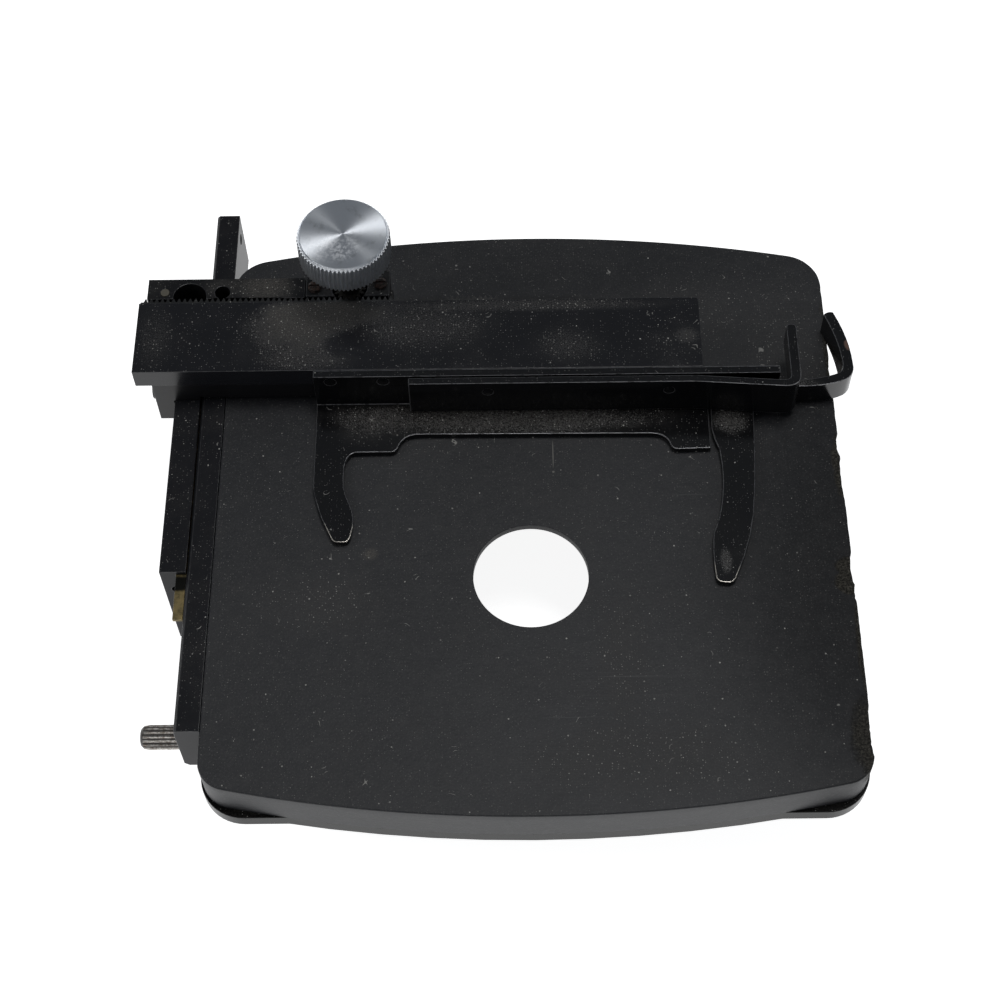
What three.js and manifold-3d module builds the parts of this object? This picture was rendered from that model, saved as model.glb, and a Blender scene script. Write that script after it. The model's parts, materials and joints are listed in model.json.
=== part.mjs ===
// Mechanical stage of a compound microscope: a fixed stage plate with a built-on slide
// holder that travels across the stage (X) on a rack and pinion and along it (Y) on a side rail.
//
// Millimetres, +Z up. Every dimension is laid out from the optical axis: X to the right,
// Y away from the user, and Z = 0 on the stage surface. At the end the whole group is moved
// so that its origin is the middle of the mounting pad under the stage.

import * as THREE from "three";
import { mergeVertices } from "three/addons/utils/BufferGeometryUtils.js";
import Module from "manifold-3d";

const wasm = await Module();
wasm.setup();

// ---------------------------------------------------------------- driving dimensions

const FIT = 0.05; // gap between faces that are screwed or riveted together
const RUN = 0.15; // gap between faces that slide on each other
const ROUND = 18; // sides of a small round piece
const SCREW_SIDES = 12;

// stage plate: bowed front and back edges, straight sides
const STAGE = { left: -61.45, right: 62, front: -49.1, back: 82.1, frontBow: 285, backBow: 284 };
const STAGE_CORNERS = { frontCorner: 6, backCorner: 8 };
const STAGE_DEPTH = 12;
const TOP_PLATE_DEPTH = 8.7;
const APERTURE_R = 11.1;
const APERTURE_LIP = 1.5;
const SUBSTAGE_R = 22;
const LEDGE = { front: -45.4, back: -33, left: -62, right: 62.5, corner: 8.5 };
const PAD = { x: 0.3, y: 56, width: 44, depth: 28, bottom: -16 };
const PAD_HOLES = { x: 15, y: 9, r: 2.1, top: -9.5 };
const SIDE_RIB = { width: 5.4, front: -28, back: 74 };
const PLATE_SCREWS = [[-46, -30], [47, -30], [-46, 62], [47, 62]];

// fixed side rail that carries the Y motion
const RAIL = { left: -66.35, right: STAGE.left - FIT, front: -31.9, back: 89.2, bottom: -15.6 };
const SLOT = { z: -7.8, neck: 1.1, root: 1.85, depth: 2.35, front: -27.2 };
const RAIL_SCREW_YS = [-22, 10, 40, 70];
const RAIL_SCREW_Z = -13.8;
const STOP_SCREW = { y: -29.2, z: -8.5, r: 2.35, length: 7.45, thread: 1.2, ridges: 16 };
const SIDE_HOLE = { y: 85.5, z: -3.6, r: 1.2, depth: 2.5 };
const REAR_PIN = { x: -63.3, y: 87.2, r: 1.2, length: 2.4 };

// carriage that slides on the rail
const CARRIAGE = { left: -71.7, right: RAIL.left - RUN, front: 1.5, back: 64.2, bottom: -27.3 };
const LIP = { right: -62.2, bottom: -20.4 };
const TONGUE = { neck: 0.9, tip: 1.6, reach: 2.1 };
const GIB = { left: -68.5, top: -1, bottom: -1.9, front: -8.2, back: 52 };
const GIB_SCREWS = { ys: [10, 27, 44], z: -1.45, head: 0.75, shank: 0.5 };
const END_HOLE = { x: -69.1, z: -6.9, r: 1.1, depth: 5 };

// guide block on the carriage, under and behind the X bar
const BLOCK = { left: -75.6, right: -27.5, front: 41.2, back: 64.2, seat: 0.1, bottom: 1.2, top: 5.9 };
const LEG = { right: -71.9, bottom: -6.5, screwYs: [46.5, 52.5], screwZ: -3 };
const SHELF = { left: -77.3, right: -45.2, front: 59.2, top: 10.3 };
const Y_BORE = { x: -68.6, y: 59.7, r: 3.35 };
const SMALL_BORE = { x: -62, y: 60.8, r: 1.55, bottom: 3 };
const DOWEL = { x: -73.7, y: 60.75, r: 0.9, bottom: 6 };
const DOVETAIL = { y: 49.5, neck: 3.2, root: 4.8, bottom: 2.9 };
const HOUSING = { left: -45.1, right: -28, front: 59.25, back: 66.05, top: 10.6 };
const HOUSING_SCREWS = [[-43.2, 61.45], [-29.8, 62.15]];

// rack and pinion of the X motion
const MODULE = 0.36;
const PRESSURE = THREE.MathUtils.degToRad(20);
const BACKLASH = 0.08;
const PINION = { x: -36.1, y: 61.65, teeth: 17, bottom: 6.35, top: 10.3, shaft: 2, journal: 1.5 };
const PITCH_R = (MODULE * PINION.teeth) / 2;
const TOOTH_PITCH = Math.PI * MODULE;
const KNOB = { r: 9.25, bottom: 20.7, top: 27.6, ridges: 68, groove: 0.35, hub: 4 };

// X bar
const BAR = { left: -78.65, right: 34.7, front: 40.7, back: 57.7, bottom: 6.2, top: 11 };
const RACK = { left: -78.4, right: 13, bottom: 6.4, top: 10.7 };
const POCKET = { depth: 3, bottom: 6.9, top: 10.1 };
const SPRING_POCKET = [-26, 2.6];
const STUD_POCKET = [25, BAR.right + 1];

// slide holder: fixed half with the left finger, sprung half with the right finger
const SHEET = 1.65;
const HOLDER = { left: -42.6, right: 49.9, front: 38.9, bottom: 0.3, top: 11.1, flange: 1.5 };
const TONGUE_TOP = 6.2;
const JAW_SHEET = 1.55;
const JAW = { left: -23.7, front: 36.75, bottom: 1.75, top: 11.5, corner: 53.8 };
const JAW_TRAVEL = 8;
const RIVETS = { xs: [-39.3, -28.8, 14], z: 9.4, r: 1.1 };
const STUDS = { xs: [-8, 27.9], z: 8.5, r: 1, head: 1.4 };
const SPRING = { anchor: -24, r: 1.1, wire: 0.22, turns: 12, y: 42.2 };

// ---------------------------------------------------------------- materials

const finish = (color, roughness, metalness) =>
  new THREE.MeshStandardMaterial({ color, roughness, metalness });
const MATERIALS = {
  hardRubber: finish(0x26272b, 0.55, 0),
  blackCasting: finish(0x1c1d20, 0.45, 0.3),
  blackPaint: finish(0x202125, 0.35, 0.3),
  blackSheet: finish(0x101114, 0.3, 0.4),
  brass: finish(0x8a7440, 0.45, 0.9),
  chrome: finish(0xb4bbc0, 0.2, 1),
  steel: finish(0x8d8a86, 0.35, 1),
  blackScrew: finish(0x2a2a2c, 0.4, 0.8),
  rustyScrew: finish(0x5a4038, 0.7, 0.6),
};

// ---------------------------------------------------------------- shape helpers

/** A closed solid for cutting and joining, from any closed three.js geometry. */
function solidOf(geometry) {
  const bare = geometry.clone();
  bare.deleteAttribute("normal");
  bare.deleteAttribute("uv");
  const merged = mergeVertices(bare, 1e-5);
  return new wasm.Manifold(
    new wasm.Mesh({
      numProp: 3,
      vertProperties: Float32Array.from(merged.attributes.position.array),
      triVerts: Uint32Array.from(merged.index.array),
    }),
  );
}

/** The three.js geometry of a solid. */
function geometryOf(solid) {
  const mesh = solid.getMesh();
  const geometry = new THREE.BufferGeometry();
  geometry.setAttribute("position", new THREE.BufferAttribute(mesh.vertProperties, 3));
  geometry.setIndex(new THREE.BufferAttribute(mesh.triVerts, 1));
  geometry.computeVertexNormals();
  return geometry;
}

/** body with the listed geometries joined on and then the others cut away. */
function build(body, { join = [], cut = [] }) {
  let solid = solidOf(body);
  for (const piece of join) solid = solid.add(solidOf(piece));
  for (const piece of cut) solid = solid.subtract(solidOf(piece));
  return geometryOf(solid);
}

/** Box between two corners. */
function box(x0, x1, y0, y1, z0, z1) {
  const geometry = new THREE.BoxGeometry(x1 - x0, y1 - y0, z1 - z0);
  return geometry.translate((x0 + x1) / 2, (y0 + y1) / 2, (z0 + z1) / 2);
}

/** Outline through plain [a, b] points. */
function polygon(points) {
  return new THREE.Shape(points.map(([a, b]) => new THREE.Vector2(a, b)));
}

/** Plan outline in X and Y, extruded from z0 to z1. */
function prismZ(shape, z0, z1, curveSegments = 6) {
  const geometry = new THREE.ExtrudeGeometry(shape, {
    depth: z1 - z0,
    bevelEnabled: false,
    curveSegments,
  });
  return geometry.translate(0, 0, z0);
}

/** Section in Y and Z, extruded from x0 to x1. */
function prismX(points, x0, x1) {
  const toX = new THREE.Matrix4().makeBasis(
    new THREE.Vector3(0, 1, 0),
    new THREE.Vector3(0, 0, 1),
    new THREE.Vector3(1, 0, 0),
  );
  return prismZ(polygon(points), x0, x1).applyMatrix4(toX);
}

/** Section in X and Z, extruded from y0 to y1. */
function prismY(points, y0, y1) {
  const toY = new THREE.Matrix4().makeBasis(
    new THREE.Vector3(1, 0, 0),
    new THREE.Vector3(0, 0, 1),
    new THREE.Vector3(0, -1, 0),
  );
  return prismZ(polygon(points), -y1, -y0).applyMatrix4(toY);
}

/** Round piece turned about +Z from [radius, height] points that start and end on the axis. */
function turned(profile, sides = ROUND) {
  const points = profile.map(([r, h]) => new THREE.Vector2(r, h));
  return new THREE.LatheGeometry(points, sides).rotateX(Math.PI / 2);
}

/** Plain round bar about +Z. */
function rod(r, z0, z1, sides = ROUND) {
  return turned([[0, z0], [r, z0], [r, z1], [0, z1]], sides);
}

/** Turns a piece made about +Z so that its +Z points along another axis, then places it. */
function pointed(geometry, direction, x, y, z) {
  const turn = new THREE.Quaternion().setFromUnitVectors(
    new THREE.Vector3(0, 0, 1),
    new THREE.Vector3(...direction),
  );
  return geometry.applyQuaternion(turn).translate(x, y, z);
}

/** Round bar with a star of V ridges around it, between z0 and z1. */
function knurled(r, groove, ridges, z0, z1) {
  const points = [];
  for (let i = 0; i < ridges * 2; i += 1) {
    const angle = (i * Math.PI) / ridges;
    const radius = i % 2 ? r - groove : r;
    points.push([radius * Math.cos(angle), radius * Math.sin(angle)]);
  }
  return prismZ(polygon(points), z0, z1);
}

/** Slotted cheese-head screw about +Z: the head's top is at z = 0 and the shank hangs below. */
function screw({ head, headDepth, shank, length, slot = 0.5, dome = 0 }) {
  const body = turned([
    [0, -headDepth - length],
    [shank, -headDepth - length],
    [shank, -headDepth],
    [head, -headDepth],
    [head, -dome],
    [head * 0.6, 0],
    [0, 0],
  ], SCREW_SIDES);
  const slotCut = box(-head - 1, head + 1, -slot / 2, slot / 2, -headDepth * 0.45, 1);
  return build(body, { cut: [slotCut] });
}

// ---------------------------------------------------------------- stage plate and rail

const stage = new THREE.Group();

/** Puts one finished piece into the stage group. */
function add(name, geometry, material) {
  const mesh = new THREE.Mesh(geometry, material);
  mesh.name = name;
  stage.add(mesh);
  return mesh;
}

/** Plate outline: straight sides, bowed front and back, rounded corners tangent to both. */
function bowedOutline({ left, right, front, back, frontBow, backBow, frontCorner, backCorner }) {
  const middle = (left + right) / 2;
  const corner = (side, way) => {
    const radius = way > 0 ? backCorner : frontCorner;
    const bow = way > 0 ? backBow : frontBow;
    const bowY = way > 0 ? back - bow : front + bow;
    const x = (side > 0 ? right : left) - side * radius;
    const y = bowY + way * Math.sqrt((bow - radius) ** 2 - (x - middle) ** 2);
    return { x, y, radius, bow, bowY, angle: Math.atan2(y - bowY, x - middle) };
  };
  const [backRight, backLeft] = [corner(1, 1), corner(-1, 1)];
  const [frontLeft, frontRight] = [corner(-1, -1), corner(1, -1)];
  const shape = new THREE.Shape();
  const arc = (c, from, to) => shape.absarc(c.x, c.y, c.radius, from, to, false);
  arc(backRight, 0, backRight.angle);
  shape.absarc(middle, backRight.bowY, backBow, backRight.angle, backLeft.angle, false);
  arc(backLeft, backLeft.angle, Math.PI);
  arc(frontLeft, Math.PI, frontLeft.angle + 2 * Math.PI);
  shape.absarc(middle, frontLeft.bowY, frontBow, frontLeft.angle, frontRight.angle, false);
  arc(frontRight, frontRight.angle, 0);
  return shape;
}

/** Straight-fronted ledge whose corners stand out under the rounder top plate. */
function ledgeOutline() {
  const { front, back, left, right, corner } = LEDGE;
  const shape = new THREE.Shape();
  shape.moveTo(right - 1, back);
  shape.lineTo(left + 1, back);
  shape.absarc(left + corner, front + corner, corner, Math.PI, 1.5 * Math.PI, false);
  shape.absarc(right - corner, front + corner, corner, 1.5 * Math.PI, 2 * Math.PI, false);
  return shape;
}

function addStagePlate() {
  const outline = bowedOutline({ ...STAGE, ...STAGE_CORNERS });
  const screwHoles = (r, z0, z1) =>
    PLATE_SCREWS.map(([x, y]) => rod(r, z0, z1).translate(x, y, 0));

  add(
    "stage_top_plate",
    build(prismZ(outline, -TOP_PLATE_DEPTH, 0), {
      cut: [
        rod(APERTURE_R, -STAGE_DEPTH, 1, 48),
        rod(SUBSTAGE_R - 1, -STAGE_DEPTH, -APERTURE_LIP, 48),
        ...screwHoles(1.6, -STAGE_DEPTH, -4.5),
      ],
    }),
    MATERIALS.hardRubber,
  );

  const castingTop = -TOP_PLATE_DEPTH - FIT;
  const pad = box(
    PAD.x - PAD.width / 2,
    PAD.x + PAD.width / 2,
    PAD.y - PAD.depth / 2,
    PAD.y + PAD.depth / 2,
    PAD.bottom,
    -STAGE_DEPTH + 1,
  );
  const ribLeft = STAGE.left;
  const rib = box(
    ribLeft,
    ribLeft + SIDE_RIB.width,
    SIDE_RIB.front,
    SIDE_RIB.back,
    RAIL.bottom,
    -STAGE_DEPTH + 1,
  );
  const padHoles = [-1, 1].flatMap((sx) =>
    [-1, 1].map((sy) =>
      rod(PAD_HOLES.r, PAD.bottom - 1, PAD_HOLES.top).translate(
        PAD.x + sx * PAD_HOLES.x,
        PAD.y + sy * PAD_HOLES.y,
        0,
      ),
    ),
  );
  const railHoles = RAIL_SCREW_YS.map((y) =>
    pointed(rod(1.2, 0, SIDE_RIB.width + 2), [1, 0, 0], ribLeft - 1, y, RAIL_SCREW_Z),
  );
  add(
    "stage_casting",
    build(prismZ(outline, -STAGE_DEPTH, castingTop), {
      join: [prismZ(ledgeOutline(), -STAGE_DEPTH, castingTop), pad, rib],
      cut: [
        rod(SUBSTAGE_R, -STAGE_DEPTH - 1, 0, 48),
        ...screwHoles(1.6, -STAGE_DEPTH - 1, 0),
        ...screwHoles(3, -STAGE_DEPTH - 1, -STAGE_DEPTH + 1.7),
        ...padHoles,
        ...railHoles,
      ],
    }),
    MATERIALS.blackCasting,
  );

  PLATE_SCREWS.forEach(([x, y], i) => {
    const body = screw({ head: 2.8, headDepth: 1.6, shank: 1.5, length: 5.5, slot: 0.8 });
    add(
      `plate_screw_${i + 1}`,
      pointed(body, [0, 0, -1], x, y, -STAGE_DEPTH),
      MATERIALS.blackScrew,
    );
  });
}

/** Straight tooth outline of a rack along +A, tips towards +B, pitch line at B = 0. */
function rackOutline(start, end, toothOffset, rootDepth) {
  const half = TOOTH_PITCH / 4 - BACKLASH / 2;
  const tip = half - MODULE * Math.tan(PRESSURE);
  const root = half + 1.2 * MODULE * Math.tan(PRESSURE);
  const points = [[start, -rootDepth]];
  points.push([end, -rootDepth], [end, -1.2 * MODULE]);
  const last = Math.floor((end - root - toothOffset) / TOOTH_PITCH);
  const first = Math.ceil((start + root - toothOffset) / TOOTH_PITCH);
  for (let i = last; i >= first; i -= 1) {
    const at = toothOffset + i * TOOTH_PITCH;
    points.push([at + root, -1.2 * MODULE], [at + tip, MODULE]);
    points.push([at - tip, MODULE], [at - root, -1.2 * MODULE]);
  }
  points.push([start, -1.2 * MODULE]);
  return points;
}

/** Section of a dovetail in A and B: half widths at the mouth and at the root. */
function dovetail(mouthA, rootA, centreB, mouthHalf, rootHalf) {
  return [
    [mouthA, centreB - mouthHalf],
    [mouthA, centreB + mouthHalf],
    [rootA, centreB + rootHalf],
    [rootA, centreB - rootHalf],
  ];
}

const Y_RACK = { front: 20, back: 88, top: -11, bottom: -13, pitchX: RAIL.left + 0.5, root: 1.3 };

function addRail() {
  const { left, right, front, back, bottom } = RAIL;
  const edge = 0.55;
  const foot = 0.9;
  const section = [
    [left, bottom + foot],
    [left + foot, bottom],
    [right, bottom],
    [right, 0],
    [left + edge, 0],
    [left, -edge],
  ];
  const slotRoot = left + SLOT.depth;
  const tan = (SLOT.root - SLOT.neck) / SLOT.depth;
  const slot = dovetail(left - 1, slotRoot, SLOT.z, SLOT.neck - tan, SLOT.root);
  const rackGroove = box(
    left - 1,
    Y_RACK.pitchX + Y_RACK.root + FIT,
    Y_RACK.front - FIT,
    Y_RACK.back + FIT,
    Y_RACK.bottom - FIT,
    Y_RACK.top + FIT,
  );
  const stopHole = pointed(
    rod(STOP_SCREW.thread + FIT, 0, 4.8),
    [1, 0, 0],
    left - 1,
    STOP_SCREW.y,
    STOP_SCREW.z,
  );
  const screwHoles = RAIL_SCREW_YS.map((y) =>
    pointed(rod(1.2, 0, 3.6), [-1, 0, 0], right + 1, y, RAIL_SCREW_Z),
  );
  const sideHole = pointed(
    rod(SIDE_HOLE.r, 0, SIDE_HOLE.depth + 1),
    [-1, 0, 0],
    right + 1,
    SIDE_HOLE.y,
    SIDE_HOLE.z,
  );
  const pinHole = rod(REAR_PIN.r - 0.3, 0, 3.3).translate(REAR_PIN.x, REAR_PIN.y, bottom - 1);
  add(
    "y_guide_rail",
    build(prismY(section, front, back), {
      cut: [
        prismY(slot, SLOT.front, back + 1),
        rackGroove,
        stopHole,
        sideHole,
        pinHole,
        ...screwHoles,
      ],
    }),
    MATERIALS.blackPaint,
  );

  RAIL_SCREW_YS.forEach((y, i) => {
    const body = screw({
      head: 1.75,
      headDepth: 1.8,
      shank: 1.1,
      length: SIDE_RIB.width + 2,
      slot: 0.6,
    });
    const headX = STAGE.left + SIDE_RIB.width + FIT + 1.8;
    add(`rail_screw_${i + 1}`, pointed(body, [1, 0, 0], headX, y, RAIL_SCREW_Z), MATERIALS.blackScrew);
  });

  const teeth = rackOutline(Y_RACK.front, Y_RACK.back, Y_RACK.front + 1, Y_RACK.root);
  const rackPoints = teeth.map(([along, out]) => [Y_RACK.pitchX - out, along]);
  add(
    "y_rack",
    prismZ(polygon(rackPoints), Y_RACK.bottom, Y_RACK.top),
    MATERIALS.steel,
  );

  const pin = turned([
    [0, -REAR_PIN.length],
    [REAR_PIN.r - 0.3, -REAR_PIN.length],
    [REAR_PIN.r, -REAR_PIN.length + 0.3],
    [REAR_PIN.r, -FIT],
    [REAR_PIN.r - 0.35, -FIT],
    [REAR_PIN.r - 0.35, 2],
    [0, 2],
  ]);
  add(
    "rear_stop_pin",
    pin.translate(REAR_PIN.x, REAR_PIN.y, bottom),
    MATERIALS.blackScrew,
  );
}

/** Knurled screw at the front of the rail that stops the carriage. */
function addStopScrew() {
  const { r, length, thread, ridges, y, z } = STOP_SCREW;
  const dome = r * 0.75;
  const cover = turned([
    [0, 0],
    [r, 0],
    [r, length - dome],
    [r * 0.93, length - dome * 0.45],
    [r * 0.7, length - dome * 0.13],
    [0, length],
  ]);
  const grip = solidOf(knurled(r, 0.3, ridges, 0, length)).intersect(solidOf(cover));
  const body = geometryOf(grip.add(solidOf(rod(thread, -3.5, 1))));
  add(
    "knurled_stop_screw",
    pointed(body, [-1, 0, 0], RAIL.left - 0.1, y, z),
    MATERIALS.steel,
  );
}

// ---------------------------------------------------------------- carriage (Y motion)

function addCarriage() {
  const { left, right, front, back, bottom } = CARRIAGE;
  const tip = RAIL.left + TONGUE.reach;
  const section = [
    [left, 0],
    [left, bottom],
    [right, bottom],
    [right, LIP.bottom],
    [LIP.right, LIP.bottom],
    [LIP.right, RAIL.bottom - RUN],
    [right, RAIL.bottom - RUN],
    [right, SLOT.z - TONGUE.neck],
    [tip, SLOT.z - TONGUE.tip],
    [tip, SLOT.z + TONGUE.tip],
    [right, SLOT.z + TONGUE.neck],
    [right, GIB.bottom - FIT],
    [GIB.left - FIT, GIB.bottom - FIT],
    [GIB.left - FIT, GIB.top + FIT],
    [right, GIB.top + FIT],
    [right, 0],
  ];
  const gibScrewHoles = GIB_SCREWS.ys.flatMap((y) => [
    pointed(rod(GIB_SCREWS.shank + 0.1, 0, 5, 12), [1, 0, 0], left - 1, y, GIB_SCREWS.z),
    pointed(rod(GIB_SCREWS.head + 0.1, 0, 1.55, 12), [1, 0, 0], left - 1, y, GIB_SCREWS.z),
  ]);
  const legScrewHoles = LEG.screwYs.map((y) =>
    pointed(rod(1.3, 0, 4), [1, 0, 0], left - 1, y, LEG.screwZ),
  );
  const shaftHole = rod(2, bottom + 3, 1).translate(Y_BORE.x, Y_BORE.y, 0);
  const endHole = pointed(
    rod(END_HOLE.r, 0, END_HOLE.depth + 1),
    [0, 1, 0],
    END_HOLE.x,
    front - 1,
    END_HOLE.z,
  );
  add(
    "y_carriage",
    build(prismY(section, front, back), {
      cut: [...gibScrewHoles, ...legScrewHoles, shaftHole, endHole],
    }),
    MATERIALS.blackPaint,
  );

  add(
    "brass_gib_strip",
    box(GIB.left, right, GIB.front, GIB.back, GIB.bottom, GIB.top),
    MATERIALS.brass,
  );

  GIB_SCREWS.ys.forEach((y, i) => {
    const body = screw({
      head: GIB_SCREWS.head,
      headDepth: 0.5,
      shank: GIB_SCREWS.shank,
      length: GIB.left - left - 0.55,
      slot: 0.3,
    });
    add(`gib_screw_${i + 1}`, pointed(body, [-1, 0, 0], left, y, GIB_SCREWS.z), MATERIALS.blackScrew);
  });
}

// ---------------------------------------------------------------- guide block

function addGuideBlock() {
  const { left, right, front, back, seat, bottom, top } = BLOCK;
  const carriageSide = CARRIAGE.right;
  const body = box(left, right, front, back, bottom, top);
  const seatPart = box(left, carriageSide, front, back, seat, bottom + 1);
  const leg = box(left, LEG.right, front, back, LEG.bottom, bottom);
  const shelf = box(SHELF.left, SHELF.right, SHELF.front, back, top - 2, SHELF.top);
  const housingSeat = box(HOUSING.left, HOUSING.right, back - 1, HOUSING.back, bottom, top);
  const guide = dovetail(top + 1, DOVETAIL.bottom, DOVETAIL.y, DOVETAIL.neck, DOVETAIL.root);
  const spread = (DOVETAIL.root - DOVETAIL.neck) / (top - DOVETAIL.bottom);
  guide[0][1] += spread;
  guide[1][1] -= spread;
  const guideCut = prismX(guide.map(([z, y]) => [y, z]), left - 1, right + 1);
  const yBore = rod(Y_BORE.r, -1, SHELF.top + 1, 32).translate(Y_BORE.x, Y_BORE.y, 0);
  const smallBore = rod(SMALL_BORE.r, SMALL_BORE.bottom, SHELF.top + 1);
  const dowelHole = rod(DOWEL.r + FIT, DOWEL.bottom, SHELF.top + 1, 12);
  const journalHole = rod(PINION.journal + 0.06, 0, top + 1);
  const washerRecess = rod(3.1, 0, 2.7);
  const legHoles = LEG.screwYs.map((y) =>
    pointed(rod(1.3, 0, 6), [1, 0, 0], left - 1, y, LEG.screwZ),
  );
  const housingHoles = HOUSING_SCREWS.map(([x, y]) =>
    rod(1.0, 3, top + 1, 12).translate(x, y, 0),
  );
  add(
    "x_guide_block",
    build(body, {
      join: [seatPart, leg, shelf, housingSeat],
      cut: [
        guideCut,
        yBore,
        smallBore.translate(SMALL_BORE.x, SMALL_BORE.y, 0),
        dowelHole.translate(DOWEL.x, DOWEL.y, 0),
        journalHole.translate(PINION.x, PINION.y, 0),
        washerRecess.translate(PINION.x, PINION.y, 0),
        ...legHoles,
        ...housingHoles,
      ],
    }),
    MATERIALS.blackPaint,
  );

  LEG.screwYs.forEach((y, i) => {
    const body2 = screw({ head: 2.2, headDepth: 1.3, shank: 1.2, length: 5.1, slot: 0.6 });
    add(
      `block_screw_${i + 1}`,
      pointed(body2, [-1, 0, 0], left - 1.3 - FIT, y, LEG.screwZ),
      MATERIALS.blackScrew,
    );
  });

  const dowel = rod(DOWEL.r, DOWEL.bottom + FIT, SHELF.top + 0.15, 12);
  add("brass_dowel", dowel.translate(DOWEL.x, DOWEL.y, 0), MATERIALS.brass);
}

function addPinionHousing() {
  const { left, right, front, back, top } = HOUSING;
  const bottom = BLOCK.top + FIT;
  const bore = rod(PITCH_R + MODULE + 0.18, 0, top + 1, 40).translate(PINION.x, PINION.y, 0);
  const holes = HOUSING_SCREWS.map(([x, y]) => rod(1.0, 0, top + 1, 12).translate(x, y, 0));
  add(
    "pinion_housing",
    build(box(left + FIT, right, front, back, bottom, top), { cut: [bore, ...holes] }),
    MATERIALS.blackPaint,
  );

  HOUSING_SCREWS.forEach(([x, y], i) => {
    const body = screw({ head: 1.35, headDepth: 0.8, shank: 0.9, length: 7, slot: 0.4, dome: 0.3 });
    add(
      `housing_screw_${i + 1}`,
      body.translate(x, y, top + 0.8 + FIT),
      MATERIALS.rustyScrew,
    );
  });

  const washer = build(rod(2.8, BLOCK.top + FIT, PINION.bottom - FIT), {
    cut: [rod(PINION.journal + 0.1, 0, top)],
  });
  add("pinion_spring_washer", washer.translate(PINION.x, PINION.y, 0), MATERIALS.steel);
}

// ---------------------------------------------------------------- pinion and knob

/** Outline of an involute pinion about its axis, with one tooth pointing along -Y. */
function pinionOutline() {
  const base = PITCH_R * Math.cos(PRESSURE);
  const root = PITCH_R - 1.2 * MODULE;
  const tip = PITCH_R + MODULE;
  const involute = (angle) => Math.tan(angle) - angle;
  const pitchHalf = (TOOTH_PITCH / 4 - BACKLASH / 2) / PITCH_R;
  const halfAngle = (radius) =>
    pitchHalf + involute(PRESSURE) - involute(Math.acos(Math.min(1, base / radius)));
  const radii = [root, base, PITCH_R, (PITCH_R + tip) / 2, tip];
  const points = [];
  for (let i = 0; i < PINION.teeth; i += 1) {
    const middle = -Math.PI / 2 + (i * 2 * Math.PI) / PINION.teeth;
    const at = (radius, angle) =>
      points.push([radius * Math.cos(angle), radius * Math.sin(angle)]);
    radii.forEach((radius) => at(radius, middle - halfAngle(radius)));
    [...radii].reverse().forEach((radius) => at(radius, middle + halfAngle(radius)));
  }
  return points;
}

function addPinionAndKnob() {
  const { x, y, bottom, top, shaft, journal } = PINION;
  const journalEnd = 2.7;
  const shaftTop = KNOB.top - 1.5;
  const gear = prismZ(polygon(pinionOutline()), bottom, top);
  add(
    "x_pinion_shaft",
    build(gear, {
      join: [rod(journal, journalEnd, top), rod(shaft, bottom + 1, shaftTop)],
      cut: [rod(0.8, 0, journalEnd + 2.6, 12)],
    }).translate(x, y, 0),
    MATERIALS.steel,
  );

  const rim = turned([
    [0, KNOB.bottom],
    [KNOB.r - 0.4, KNOB.bottom],
    [KNOB.r, KNOB.bottom + 0.4],
    [KNOB.r, KNOB.top - 0.6],
    [KNOB.r - 0.5, KNOB.top],
    [0, KNOB.top],
  ], KNOB.ridges);
  const grip = knurled(KNOB.r, KNOB.groove, KNOB.ridges, KNOB.bottom, KNOB.top);
  const hub = rod(KNOB.hub, KNOB.bottom - 2.4, KNOB.bottom + 1);
  const shaftHole = rod(shaft + FIT, 0, shaftTop + 0.3);
  const knob = solidOf(grip).intersect(solidOf(rim)).add(solidOf(hub)).subtract(solidOf(shaftHole));
  add("x_knob", geometryOf(knob).translate(x, y, 0), MATERIALS.chrome);

  const washer = build(rod(2.7, 2.15, journalEnd - FIT), { cut: [rod(0.9, 0, 4, 12)] });
  add("pinion_end_washer", washer.translate(x, y, 0), MATERIALS.steel);

  const endScrew = screw({ head: 1.6, headDepth: 0.7, shank: 0.7, length: 2.8, slot: 0.4 });
  add(
    "pinion_end_screw",
    pointed(endScrew, [0, 0, -1], x, y, 2.15 - FIT - 0.7),
    MATERIALS.blackScrew,
  );
}

// ---------------------------------------------------------------- X bar

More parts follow.
